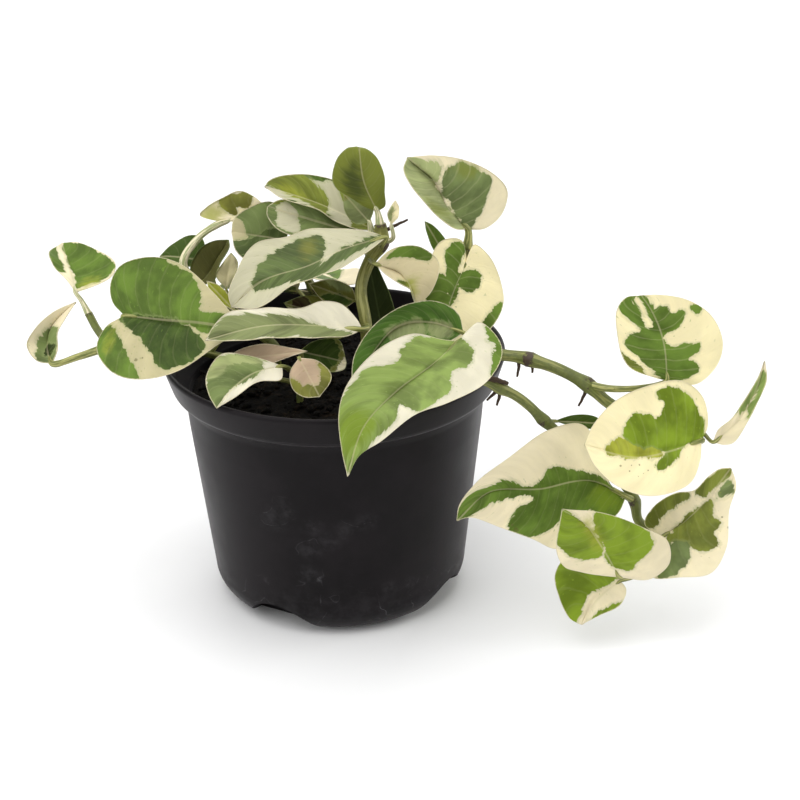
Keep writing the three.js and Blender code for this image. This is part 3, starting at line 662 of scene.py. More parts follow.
@dataclass
class Body:
    """Points and faces of one piece while it is put together, in millimetres."""

    points: list[np.ndarray] = field(default_factory=list)
    faces: Faces = field(default_factory=list)
    looks: list[int] = field(default_factory=list)
    values: dict[str, list[np.ndarray]] = field(default_factory=dict)

    def count(self) -> int:
        """Gives the number of points so far."""
        return sum(len(part) for part in self.points)

    def add(self, points: np.ndarray, faces: Faces, look: int = 0, **values: np.ndarray) -> None:
        """Adds a closed shell.

        Args:
            points: Its points.
            faces: Its faces, counted from its own first point.
            look: Which of the piece's materials it wears.
            **values: Vectors that its points carry for the materials.
        """
        shift = self.count()
        self.faces += [tuple(index + shift for index in face) for face in faces]
        self.looks += [look] * len(faces)
        for name in {*values, *self.values}:
            held = self.values.setdefault(name, [np.zeros((shift, 3))] if shift else [])
            held.append(values.get(name, np.zeros((len(points), 3))))
        self.points.append(points)

    def add_rod(self, path: Outline, radius: float, look: int) -> None:
        """Adds a tapered, slightly knobbly root or stub.

        Args:
            path: Points that it passes.
            radius: Radius at its start.
            look: Which of the piece's materials it wears.
        """

        def radius_at(run: float, whole: float, turn: float) -> float:
            """Gives the radius, thinner towards the tip."""
            return radius * (1.05 - 0.6 * run / whole + 0.08 * math.sin(3 * turn + run * 2.1))

        points, faces, place = rod(path, 0.4, radius_at, 10)
        self.add(points, faces, look, stem_place=place)

    def make(self, name: str, node: str, materials: list[bpy.types.Material], slot: Slot) -> bpy.types.Object:
        """Turns the body into a piece that stands for a node of the frame.

        Args:
            name: Name of the piece.
            node: Node that it replaces.
            materials: Its materials.
            slot: Material slot of the part for the piece; not used.

        Returns:
            The piece.
        """
        # The tip of leaf_crown_green passes the top of the part's box by 0.6 mm, and is pulled back to it
        low, high = (np.array(corner) for corner in CAD_BOX)
        points = np.clip(np.vstack(self.points) * MM, low, high)
        mesh = bpy.data.meshes.new(name)
        mesh.from_pydata(points.tolist(), [], self.faces)
        for title, held in self.values.items():
            layer = mesh.attributes.new(title, "FLOAT_VECTOR", "POINT")
            layer.data.foreach_set("vector", np.vstack(held).astype(np.float32).ravel())
        mesh.polygons.foreach_set("material_index", self.looks)
        mesh.polygons.foreach_set("use_smooth", [True] * len(self.faces))
        for material in materials:
            mesh.materials.append(material)
        mesh.validate()
        mesh.update()
        piece = bpy.data.objects.new(name, mesh)
        bpy.context.scene.collection.objects.link(piece)
        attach(piece, "root")
        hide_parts(node)
        return piece


def rod(path: Outline, pace: float, radii: Radii, sides: int) -> tuple[np.ndarray, Faces, np.ndarray]:
    """Draws a closed rod along a smooth path.

    Args:
        path: Points that the rod passes.
        pace: Length of one step in millimetres.
        radii: Its radius at each place.
        sides: Number of sides.

    Returns:
        Points, faces, and [run, turn, 0] at each point.
    """
    length = float(np.linalg.norm(np.diff(smooth_line(path, 60), axis=0), axis=1).sum())
    steps = max(6, round(length / pace))
    line = smooth_line(path, steps)
    ahead = np.gradient(line, axis=0)
    ahead /= np.linalg.norm(ahead, axis=1)[:, None]
    side = np.cross(ahead[0], [0.31, 0.87, 0.38])
    points, place = [], []
    turns = np.arange(sides) * 2 * math.pi / sides
    for i, (centre, direction) in enumerate(zip(line, ahead)):
        side = side - side.dot(direction) * direction
        side /= np.linalg.norm(side)
        other = np.cross(direction, side)
        run = length * i / steps
        radius = np.array([radii(run, length, turn) for turn in turns])[:, None]
        points.append(centre + radius * (np.cos(turns)[:, None] * side + np.sin(turns)[:, None] * other))
        place.append(np.stack([np.full(sides, run), turns, np.zeros(sides)], axis=-1))
    spans = [(i * sides, k, (k + 1) % sides) for i in range(steps) for k in range(sides)]
    faces = [(low + k, low + after, low + sides + after, low + sides + k) for low, k, after in spans]
    faces.append(tuple(range(sides))[::-1])
    faces.append(tuple(steps * sides + k for k in range(sides)))
    return np.vstack(points), faces, np.vstack(place)


@dataclass
class Stem:
    """Vine or stem: swollen nodes, short aerial roots, and stubs of cut leaf stalks.

    The first point is the foot in the soil; nodes and roots are given by the index of a point.
    """

    foot: list[float]
    radius: float
    nodes: list[int]
    points: Outline
    roots: list[tuple[int, list[float]]] = field(default_factory=list)
    stubs: list[Outline] = field(default_factory=list)
    sides: int = 20
    pace: float = 0.7

    def path(self) -> Outline:
        """Gives every point that the stem passes, from its foot up."""
        upright = [[*self.foot, height] for height in (STEM_FOOT_HEIGHT, *STEM_STRAIGHT_HEIGHTS)]
        return upright + [list(point) for point in self.points]

    def carrier(self, at: int) -> list[float]:
        """Gives the point that a leaf stalk starts from, where -1 is the straight part."""
        return self.path()[3 + at]

    def build(self, name: str, finish: bpy.types.Material, roots: bpy.types.Material) -> bpy.types.Object:
        """Builds the stem.

        Args:
            name: Name of the node that it stands for.
            finish: Material of the stem.
            roots: Material of its roots and dry ends.

        Returns:
            The piece.
        """
        path = self.path()
        line = smooth_line(path, PATH_STEPS)
        length = float(np.linalg.norm(np.diff(line, axis=0), axis=1).sum())
        spots = [np.linalg.norm(line - np.array(self.points[index]), axis=1).argmin() * length / PATH_STEPS
                 for index in self.nodes]

        def radius_at(run: float, whole: float, turn: float) -> float:
            """Gives the radius, swollen and ringed at the nodes.

            Args:
                run: Length from the foot.
                whole: Length of the stem; not used.
                turn: Turn about the stem.

            Returns:
                The radius.
            """
            swell = max([math.exp(-(((run - spot) / (self.radius * 1.6)) ** 2)) for spot in spots], default=0)
            lean = [run - spot + 0.8 * math.cos(turn + spot) for spot in spots]
            ring = sum(math.exp(-((shift / 0.5) ** 2)) for shift in lean)
            ridges = 0.03 * math.cos(5 * turn + run * 0.03) + 0.02 * math.sin(3 * turn + run * 0.4) - 0.05
            return self.radius * (1 + (NODE_SWELL - 1) * swell + ridges) + 0.14 * ring

        body = Body()
        points, faces, place = rod(path, self.pace, radius_at, self.sides)
        runs, turns = place[:, 0], place[:, 1]
        near = [np.exp(-(((runs - spot) / 1.9) ** 2)) * (0.62 + 0.38 * np.cos(turns - 2.1 * spot))
                for spot in spots]
        ends = np.exp(-(((runs - length) / 1.5) ** 2)) * 0.6
        place[:, 2] = np.max([*near, ends], axis=0)
        body.add(points, faces, 0, stem_place=place)
        for index, direction in self.roots:
            start = np.array(self.points[index], float)
            end = start + np.array(direction)
            bend = (start + end) / 2 + np.array([0.5, 0.2, 0.3])
            body.add_rod([start, bend, end], ROOT_RADIUS, 1)
        for stub in self.stubs:
            body.add_rod(stub, STUB_RADIUS, 1)
        return body.make(name + "_fine", name, [finish, roots], Slot.STEM)


@dataclass
class Leaf:
    """Leaf: a blade between its midrib and two drawn edges, and the stalk that carries it.

    on and at name the stem and the point of it that carries the leaf, via the bends of the
    stalk, base and tip the ends of the midrib, and roll its turn in degrees. left, right and rib
    are points in the blade's own plane, as [along, across] from the base. A blade with no right
    edge of its own has its left edge on both sides.
    """

    on: str
    at: int
    base: list[float]
    tip: list[float]
    left: Outline
    right: Outline = field(default_factory=list)
    via: Outline = field(default_factory=list)
    rib: Outline = field(default_factory=list)
    roll: float = 0
    bow: float = 3
    fold: tuple[float, float] = (12, 12)
    cup: float = 0
    wave: float = 0.6
    stalk: float = 1.0
    cell: float = 0.8
    stalk_sides: int = 14
    stalk_pace: float = 0.6

    def axes(self) -> tuple[np.ndarray, np.ndarray, np.ndarray]:
        """Works out how the blade lies.

        Returns:
            Directions along its chord, out of its face, and across to its left.
        """
        along = np.array(self.tip, float) - self.base
        along /= np.linalg.norm(along)
        face = LIGHT_SIDE - LIGHT_SIDE.dot(along) * along
        face = Matrix.Rotation(math.radians(self.roll), 3, Vector(along)) @ Vector(face).normalized()
        return along, np.array(face), np.cross(face, along)

    def blade(self, finish: LeafFinish) -> tuple[np.ndarray, dict[str, np.ndarray]]:
        """Lays out the blade's middle surface.

        Args:
            finish: Finish whose drawn areas are read at each point.

        Returns:
            Rows of points from base to tip, and the vectors that they carry.
        """
        along, face, left = self.axes()
        length = float(np.linalg.norm(np.array(self.tip, float) - self.base))
        end = [length, 0.0]
        right = self.right or [[x, -y] for x, y in self.left]
        drawn = [[[0.0, 0.0], *edge, end] for edge in (self.left, right)]
        reach = max(np.linalg.norm(np.diff(smooth_line(edge, 40), axis=0), axis=1).sum() for edge in drawn)
        width = max(abs(point[1]) for edge in drawn for point in edge)
        rows = int(np.clip(reach / self.cell, 20, 100))
        cells = int(np.clip(width / self.cell, 6, 40))
        middle = smooth_line([[0.0, 0.0], *(self.rib or [[length / 2, 0.0]]), end], rows)
        edges = [smooth_line(edge, rows) for edge in drawn]
        t = np.linspace(0, 1, rows + 1)[:, None]
        v = np.abs(np.linspace(-1, 1, 2 * cells + 1))[None, :]
        side = np.where(np.arange(2 * cells + 1) < cells, 1, 0)[None, :]
        edge = np.where(side[..., None] == 1, edges[1][:, None], edges[0][:, None])
        flat = middle[:, None] * (1 - v[..., None]) + edge * v[..., None]
        half = np.linalg.norm(edge - middle[:, None], axis=-1)
        fold = np.tan(np.radians(np.where(side == 1, self.fold[1], self.fold[0])))
        vein = length * (t - 0.2 * v**1.3)
        height = (self.bow * 4 * t * (1 - t) - fold * np.abs(edge[..., 1] - flat[..., 1]) + self.cup * v**2
                  + self.wave * v**2 * np.sin(2 * math.pi * (2 * t + 0.37 * side)) * np.sin(math.pi * t))
        furrows = np.maximum(np.sin(vein * VEIN_PACE + side) - 0.3, 0)
        height = height - 0.10 * furrows * np.sin(math.pi * v) ** 0.5
        height = height + 0.30 * v**3 * np.sin(vein * 0.55 + 2 * side) * np.sin(math.pi * t)
        height = height - GROOVE * np.exp(-((v * half / 0.7) ** 2))
        points = np.array(self.base, float) + along * flat[..., :1] + left * flat[..., 1:]
        points = points + face * height[..., None]
        sign = np.where(side == 1, -1, 1)
        places = flat.reshape(-1, 2)
        drawings = (finish.first_areas, finish.second_areas, finish.accent_areas)
        marks = [self.depth(places, areas) for areas in drawings]
        marks[0] = np.minimum(marks[0], -self.depth(places, finish.cut_areas))
        return points, {
            "vein_place": np.stack([vein + 0 * v, sign * v * half, (1 - v) * half], axis=-1).reshape(-1, 3),
            "marks": np.stack(marks, axis=-1),
            "blade_place": np.hstack([places, np.zeros((len(places), 1))]),
        }

    def depth(self, places: np.ndarray, areas: tuple[Outline, ...]) -> np.ndarray:
        """Measures how deep points lie in any of some areas.

        Args:
            places: Points as rows of [along, across].
            areas: Outlines of the areas.

        Returns:
            The greatest depth in millimetres, at least -9.
        """
        return np.max([np.full(len(places), -9.0), *[depth_inside(places, area) for area in areas]], axis=0)

    def build(self, name: str, stems: dict[str, Stem], finish: LeafFinish, stalk: bpy.types.Material,
              seed: int) -> bpy.types.Object:
        """Builds the leaf.

        Args:
            name: Name of the node that it stands for.
            stems: The stems by name.
            finish: Finish of its blade.
            stalk: Material of its stalk.
            seed: Shift of its chance patterns.

        Returns:
            The piece.
        """
        rows, values = self.blade(finish)
        count, width = rows.shape[:2]
        ahead, across = np.gradient(rows, axis=0), np.gradient(rows, axis=1)
        ahead[0], ahead[-1], across[0], across[-1] = ahead[1], ahead[-2], across[1], across[-2]
        normal = np.cross(ahead, across)
        normal /= np.linalg.norm(normal, axis=-1)[..., None]
        normal[0], normal[-1] = normal[0, width // 2], normal[-1, width // 2]
        v = np.abs(np.linspace(-1, 1, width))[None, :, None]
        half = EDGE_HALF + RIB_HALF * (1 - v**4)
        shells = np.vstack([(rows + way * normal * half).reshape(-1, 3) for way in (1, -1)])
        index = np.arange(count * width).reshape(count, width)
        index[0], index[-1] = index[0, 0], index[-1, 0]
        faces = []
        for shift, turned in ((0, False), (count * width, True)):
            ids = index + shift
            for i in range(count - 1):
                for j in range(width - 1):
                    face = (ids[i, j], ids[i + 1, j], ids[i + 1, j + 1], ids[i, j + 1])
                    faces.append(face[::-1] if turned else face)
        for j, turned in ((0, True), (width - 1, False)):
            for i in range(count - 1):
                top, low = index[i : i + 2, j], index[i : i + 2, j] + count * width
                face = (top[0], low[0], low[1], top[1]) if not turned else (top[0], top[1], low[1], low[0])
                faces.append(face)
        faces = [tuple(dict.fromkeys(int(k) for k in face)) for face in faces]
        faces = [face for face in faces if len(face) > 2]
        used = sorted({k for face in faces for k in face})
        place = {k: n for n, k in enumerate(used)}
        faces = [tuple(place[k] for k in face) for face in faces]
        under = np.repeat([[0.0, 0.0, 0.0], [1.0, 1.0, 1.0]], count * width, axis=0)
        carried = {title: np.vstack([held, held])[used] for title, held in values.items()}
        body = Body()
        body.add(shells[used], faces, 0, under=under[used], **carried)

        start = stems[self.on].carrier(self.at)
        join = rows[round((count - 1) / 9), width // 2]
        path = [start, *self.via, self.base, join.tolist()]

        def radius_at(run: float, whole: float, turn: float) -> float:
            """Gives the stalk's radius: flared at the stem, thickened below the blade.

            Args:
                run: Length from the stem.
                whole: Length of the stalk.
                turn: Turn about the stalk.

            Returns:
                The radius.
            """
            part = run / whole
            flare = 0.25 * math.exp(-((run / 2.5) ** 2)) + 0.12 * math.exp(-(((part - 0.82) / 0.07) ** 2))
            end = 1 - 0.6 * max(0.0, (part - 0.9) / 0.1) ** 2
            return self.stalk * (1.12 - 0.5 * part + flare) * end * (1 + 0.05 * math.cos(2 * turn))

        points, tube, held = rod(path, self.stalk_pace, radius_at, self.stalk_sides)
        body.add(points, tube, 1, stem_place=held)
        material = finish.make(name + "_blade", float(seed) * 3.7)
        return body.make(name + "_fine", name, [material, stalk], finish.slot)


def eased(profile: Outline, reach: float) -> np.ndarray:
    """Rounds the corners of a profile.

    Args:
        profile: Its corners.
        reach: How far from a corner the round starts.

    Returns:
        The rounded profile's points.
    """
    spots = np.array(profile, float)
    line = [spots[0]]
    for before, corner, after in zip(spots, spots[1:], spots[2:]):
        legs = [other - corner for other in (before, after)]
        ends = [corner + leg * min(0.45, reach / np.linalg.norm(leg)) for leg in legs]
        for u in (0.0, 0.25, 0.5, 0.75, 1.0):
            line.append((1 - u) ** 2 * ends[0] + 2 * u * (1 - u) * corner + u**2 * ends[1])
    return np.array(line + [spots[-1]])


def lathe(profile: np.ndarray, sides: int) -> tuple[np.ndarray, Faces]:
    """Turns a profile about the upright axis.

    Args:
        profile: Rows of [radius, height], whose first and last point lie on the axis.
        sides: Number of sides.

    Returns:
        Points and faces.
    """
    turns = np.arange(sides) * 2 * math.pi / sides
    ring = np.stack([np.cos(turns), np.sin(turns)], axis=-1)
    points = [np.array([[0, 0, profile[0][1]], [0, 0, profile[-1][1]]], float)]
    for radius, height in profile[1:-1]:
        points.append(np.hstack([ring * radius, np.full((sides, 1), height)]))
    faces: Faces = []
    for k in range(sides):
        after = (k + 1) % sides
        faces.append((0, 2 + after, 2 + k))
        last = 2 + (len(profile) - 3) * sides
        faces.append((1, last + k, last + after))
        for i in range(len(profile) - 3):
            low = 2 + i * sides
            faces.append((low + k, low + after, low + sides + after, low + sides + k))
    return np.vstack(points), faces


@dataclass
class Pot:
    """Round nursery pot: moulded wall with a stepped collar, cut by drains at its foot."""

    sides: int = 144
    finish: PotFinish = PotFinish()

    def profile(self) -> Outline:
        """Gives the wall's corners, from the middle of the foot round to the middle of the floor.

        Returns:
            Rows of [radius, height].
        """
        collar_foot = POT_HEIGHT - COLLAR_HEIGHT
        corner = BODY_FOOT_RADIUS - BASE_CORNER
        turns = np.radians(np.arange(10, 91, 10))
        bend = [[corner + BASE_CORNER * math.sin(a), BASE_CORNER * (1 - math.cos(a))] for a in turns]
        return [
            [0, 0], [corner, 0], *bend,
            [BODY_TOP_RADIUS - 1.2, collar_foot - 15], [BODY_TOP_RADIUS - 0.3, collar_foot - 5],
            [BODY_TOP_RADIUS + 0.6, collar_foot - 2], [COLLAR_FOOT_RADIUS - 1, collar_foot - 0.6],
            [COLLAR_FOOT_RADIUS, collar_foot + 0.6], [RIM_RADIUS, POT_HEIGHT - 1.2],
            [RIM_RADIUS - 0.5, POT_HEIGHT], [RIM_RADIUS - 1.8, POT_HEIGHT],
            [RIM_RADIUS - 2.4, POT_HEIGHT - 1.2],
            [COLLAR_FOOT_RADIUS - WALL, collar_foot + 1.6], [BODY_TOP_RADIUS - WALL, collar_foot - 2],
            [BODY_TOP_RADIUS - WALL - 1.2, collar_foot - 15], [BODY_FOOT_RADIUS - WALL, BASE_CORNER + 1],
            [BODY_FOOT_RADIUS - WALL - 4, BASE_CORNER / 2], [corner, FLOOR], [0, FLOOR],
        ]

    def build(self) -> bpy.types.Object:
        """Builds the pot.

        Returns:
            The piece.
        """
        body = Body()
        body.add(*lathe(eased(self.profile(), 0.7), self.sides))
        piece = body.make("pot_fine", "pot", [self.finish.make("pot_plastic_moulded")], Slot.POT)
        drills = Body()
        arch = (DRAIN_WIDTH**2 / 4 + DRAIN_HEIGHT**2) / (2 * DRAIN_HEIGHT)
        ring = np.radians(np.arange(0, 360, 2.5))
        for i in range(DRAIN_COUNT):
            angle = math.radians(DRAIN_TURN + 360 * i / DRAIN_COUNT)
            out = np.array([math.cos(angle), math.sin(angle), 0])
            side = np.array([-math.sin(angle), math.cos(angle), 0])
            rings = [out * reach + arch * (np.cos(ring)[:, None] * side + np.sin(ring)[:, None] * [0, 0, 1])
                     + [0, 0, DRAIN_HEIGHT - arch] for reach in (BODY_FOOT_RADIUS - 14, BODY_FOOT_RADIUS + 6)]
            n = len(ring)
            faces = [(k, (k + 1) % n, n + (k + 1) % n, n + k) for k in range(n)]
            drills.add(np.vstack(rings), [*faces, tuple(range(n))[::-1], tuple(range(n, 2 * n))])
        mesh = bpy.data.meshes.new("drills")
        mesh.from_pydata((np.vstack(drills.points) * MM).tolist(), [], drills.faces)
        cutter = bpy.data.objects.new("drills", mesh)
        bpy.context.scene.collection.objects.link(cutter)
        cut = piece.modifiers.new("drains", "BOOLEAN")
        cut.operation = "DIFFERENCE"
        cut.solver = "EXACT"
        cut.object = cutter
        shaped = bpy.data.meshes.new_from_object(piece.evaluated_get(bpy.context.evaluated_depsgraph_get()))
        piece.modifiers.clear()
        piece.data = shaped
        bpy.data.objects.remove(cutter)
        shaped.set_sharp_from_angle(angle=math.radians(40))
        return piece


@dataclass
class Soil:
    """Soil: uneven bed that fills the pot, with crumbs lying on it."""

    crumbs: int = 700
    edge: float = BODY_TOP_RADIUS - WALL - 1
    sides: int = 180
    rings: int = 56
    finish: SoilFinish = SoilFinish()

    def height(self, radius: float) -> float:
        """Gives the bed's height.

        Args:
            radius: Distance from the middle.

        Returns:
            The height.
        """
        spots = [0, 12, 30, 47, self.edge]
        heights = [SOIL_CROWN_HEIGHT] * 2
        heights += [SOIL_CROWN_HEIGHT - 1.2, SOIL_EDGE_HEIGHT + 1.8, SOIL_EDGE_HEIGHT]
        return float(np.interp(radius, spots, heights))

    def build(self) -> bpy.types.Object:
        """Builds the bed and its crumbs.

        Returns:
            The piece.
        """
        edge = self.edge
        top = [[edge * part, self.height(edge * part)] for part in np.linspace(1, 0, self.rings)]
        foot = [[0, FLOOR + 0.35], [BODY_FOOT_RADIUS - BASE_CORNER - 1.5, FLOOR + 0.35],
                [BODY_FOOT_RADIUS - WALL - 5.5, BASE_CORNER / 2 + 1.5],
                [BODY_FOOT_RADIUS - WALL - 0.8, BASE_CORNER + 2], [edge - 0.9, SOIL_EDGE_HEIGHT - 10]]
        points, faces = lathe(np.array(foot + top), self.sides)
        for point in points:
            if point[2] > SOIL_EDGE_HEIGHT - 0.01:
                lump = noise.fractal(Vector(point * 0.22), 1.0, 2.0, 4, noise_basis="PERLIN_ORIGINAL")
                fine = noise.noise(Vector(point * 0.9))
                point[2] += 0.9 * lump + 0.45 * fine - 0.4
        body = Body()
        body.add(points, faces)
        chance = np.random.default_rng(SEED)
        shell = self.lump()
        for _ in range(self.crumbs):
            radius, turn = edge * math.sqrt(chance.uniform(0, 0.97)), chance.uniform(0, 2 * math.pi)
            size = chance.uniform(0.35, 1.1) ** 1.5
            stretch = np.array([chance.uniform(1, 2.4), 1, chance.uniform(0.5, 0.9)]) * size
            spin = Matrix.Rotation(chance.uniform(0, 6.28), 3, "Z")
            spin = spin @ Matrix.Rotation(chance.uniform(-0.4, 0.4), 3, "Y")
            knobs = 1 + chance.uniform(-0.22, 0.22, (len(shell[0]), 1))
            shape = (shell[0] * knobs * stretch) @ np.array(spin)
            lift = self.height(radius) + size * 0.25 - 0.3
            place = [radius * math.cos(turn), radius * math.sin(turn), lift]
            body.add(shape + place, shell[1])
        return body.make("soil_fine", "soil", [self.finish.make("potting_soil_damp")], Slot.SOIL)

    def lump(self) -> tuple[np.ndarray, Faces]:
        """Gives one round crumb of 20 faces.

        Returns:
            Its points and faces.
        """
        g = (1 + 5**0.5) / 2
        points = np.array([[-1, g, 0], [1, g, 0], [-1, -g, 0], [1, -g, 0], [0, -1, g], [0, 1, g], [0, -1, -g],
                           [0, 1, -g], [g, 0, -1], [g, 0, 1], [-g, 0, -1], [-g, 0, 1]]) / g
        faces = [(0, 11, 5), (0, 5, 1), (0, 1, 7), (0, 7, 10), (0, 10, 11), (1, 5, 9), (5, 11, 4),
                 (11, 10, 2), (10, 7, 6), (7, 1, 8), (3, 9, 4), (3, 4, 2), (3, 2, 6), (3, 6, 8), (3, 8, 9),
                 (4, 9, 5), (2, 4, 11), (6, 2, 10), (8, 6, 7), (9, 8, 1)]
        return points, faces


@dataclass
class Studio:
    """Pale floor that sweeps up behind the plant, soft lights, and the camera."""

    # Point that the camera and the lights face, and the camera's distance, in millimetres
    target: Point = (23.7, 0.0, 73.3)
    distance: float = 800.0
    elevation: float = 24.4
    roll: float = -1.14
    lens: float = 97.74
    sensor: float = 36.0
    sky: float = 0.42
    floor_tone: Colour = (0.93, 0.93, 0.93, 1.0)
    # Floor, in metres: half its width, its front, where its sweep starts, how round that is, and its top
    half_width: float = 3.5
    front: float = -3.0
    back: float = 0.9
    sweep: float = 0.6
    top: float = 3.0
    # Soft lights: name, place and side in metres, power in watts
    lights: tuple[tuple[str, Point, float, float], ...] = (
        ("softbox_above", (-0.25, -0.35, 1.25), 1.3, 13.5), ("softbox_left", (-1.1, -0.9, 0.7), 1.0, 6.0),
        ("softbox_right", (1.2, 0.05, 0.35), 1.0, 8.0), ("softbox_behind", (0.1, 0.9, 1.0), 1.0, 5.0),
    )

    def floor(self) -> None:
        """Builds the floor with its sweep."""
        turns = np.radians(np.arange(6, 91, 6))
        bend = [[self.back + self.sweep * math.sin(a), self.sweep * (1 - math.cos(a))] for a in turns]
        profile = [[self.front, 0.0], [self.back, 0.0], *bend, [self.back + self.sweep, self.top]]
        points = [(x, y, z) for y, z in profile for x in (-self.half_width, self.half_width)]
        faces = [(2 * i, 2 * i + 1, 2 * i + 3, 2 * i + 2) for i in range(len(profile) - 1)]
        mesh = bpy.data.meshes.new("studio_floor")
        mesh.from_pydata(points, [], faces)
        mesh.polygons.foreach_set("use_smooth", [True] * len(faces))
        shader = Shader("studio_paper")
        fibre = shader.noise(shader.place(), 60.0, 3.0, 0.5)
        colour = shader.mix(fibre, self.floor_tone, toned(self.floor_tone, 0.985))
        mesh.materials.append(shader.dress(colour, shader.band(fibre, -2.0, 1.1, False)))
        piece = bpy.data.objects.new("studio_floor", mesh)
        bpy.context.scene.collection.objects.link(piece)

    def light(self, name: str, place: Point, size: float, power: float) -> None:
        """Hangs a soft light that faces the plant.

        Args:
            name: Its name.
            place: Where it hangs, in metres.
            size: Side of its square, in metres.
            power: Its power in watts.
        """
        lamp = bpy.data.lights.new(name, "AREA")
        lamp.energy, lamp.size = power, size
        holder = bpy.data.objects.new(name, lamp)
        holder.location = place
        holder.rotation_euler = (Vector(self.target) * MM - Vector(place)).to_track_quat("-Z", "Y").to_euler()
        bpy.context.scene.collection.objects.link(holder)

    def camera(self) -> None:
        """Sets the camera at the photograph's angle."""
        tilt, turn = math.radians(self.elevation), math.radians(self.roll)
        back = Vector((0, -math.cos(tilt), math.sin(tilt)))
        right, up = Vector((1, 0, 0)), Vector((0, math.sin(tilt), math.cos(tilt)))
        across = right * math.cos(turn) + up * math.sin(turn)
        upward = up * math.cos(turn) - right * math.sin(turn)
        lens = bpy.data.cameras.new("photo_camera")
        lens.lens, lens.sensor_width = self.lens, self.sensor
        lens.clip_start, lens.clip_end = 0.01, 30.0
        camera = bpy.data.objects.new("photo_camera", lens)
        place = (Vector(self.target) + back * self.distance) * MM
        camera.matrix_world = Matrix.Translation(place) @ Matrix((across, upward, back)).transposed().to_4x4()
        bpy.context.scene.collection.objects.link(camera)
        bpy.context.scene.camera = camera

    def build(self) -> None:
        """Builds the floor, the lights, the sky and the camera, and keeps colours plain."""
        self.floor()
        for light in self.lights:
            self.light(*light)
        world = bpy.data.worlds.new("studio_sky")
        bpy.context.scene.world = world
        world.use_nodes = True
        sky = world.node_tree.nodes["Background"]
        sky.inputs["Color"].default_value = (1.0, 1.0, 1.0, 1.0)
        sky.inputs["Strength"].default_value = self.sky
        bpy.context.scene.view_settings.view_transform = "Standard"
        self.camera()


STEMS: dict[str, Stem] = {
    "vine_upper": Stem(
        foot=[34, -4], radius=2.2, nodes=[4, 6],
        points=[[42, -9, 93.5], [52, -13, 98], [61, -16, 97.4], [66, -18, 97.4], [70, -20, 97.2],
            [79, -24, 95.4], [90, -28, 90.5], [97, -30, 84.5], [111.5, -36, 78], [122, -39, 75.5],
            [129, -41.5, 74.3]],
        roots=[[3, [-0.3, -0.5, -7.5]], [4, [1, -0.5, -5]], [6, [-3, -0.5, -8]]],
    ),
    "vine_lower": Stem(
        foot=[26, -20], radius=1.8, nodes=[3, 6, 9, 11],
        points=[[36, -27, 95], [45, -32.5, 97.8], [53, -37, 97.1], [58.5, -37, 94], [64, -36.5, 90.8],
            [69, -36, 86.3], [74, -36, 80.8], [87, -36, 68.8], [99.5, -38, 59.6], [106, -42, 51.6],
            [107.5, -44, 44.5], [113, -45, 38.8], [115.3, -47.5, 34.2], [109.3, -52, 30.3]],
        roots=[[3, [-1, -0.5, -6.5]], [3, [-4.5, -0.5, -4.5]]],
        stubs=[[[53, -37.5, 98.3], [57.5, -38, 97.4], [61.5, -38, 96]]],
    ),
    "stem_crown": Stem(
        foot=[12, -6], radius=2.3, nodes=[3],
        points=[[12, -8, 106], [10.5, -1, 119], [14, 3, 127.5], [18, 4.6, 133], [18.3, 5.3, 137],
            [17.8, 5.6, 140]],
        roots=[[4, [9.5, -0.5, 4.8]]],
    ),
    "stem_right": Stem(
        foot=[38, 8], radius=1.5, nodes=[2],
        points=[[43, 10, 105], [47.8, 12, 119], [49.3, 11.6, 128]],
    ),
    "stem_left": Stem(
        foot=[-34, -2], radius=1.5, nodes=[3],
        points=[[-45, -4, 95], [-60, -6, 97], [-72, -5, 97.5], [-80, -5, 99.5], [-85, -1, 103.5],
            [-88.5, 1.5, 109.5]],
    ),
    "stem_back_left": Stem(
        foot=[-22, 14], radius=1.9, nodes=[2],
        points=[[-31, 15, 97], [-42, 15, 106], [-50, 14.5, 114]],
    ),
    "stem_front": Stem(
        foot=[-12, -22], radius=1.3, nodes=[2],
        points=[[-12.3, -24, 91.5], [-12.8, -25.8, 94.5], [-13.5, -27.5, 97.5]],
    ),
    "stem_back": Stem(
        foot=[-2, 24], radius=1.6, nodes=[1],
        points=[[-4, 24, 98], [-8, 21, 110], [-12.5, 15, 123]],
    ),
}

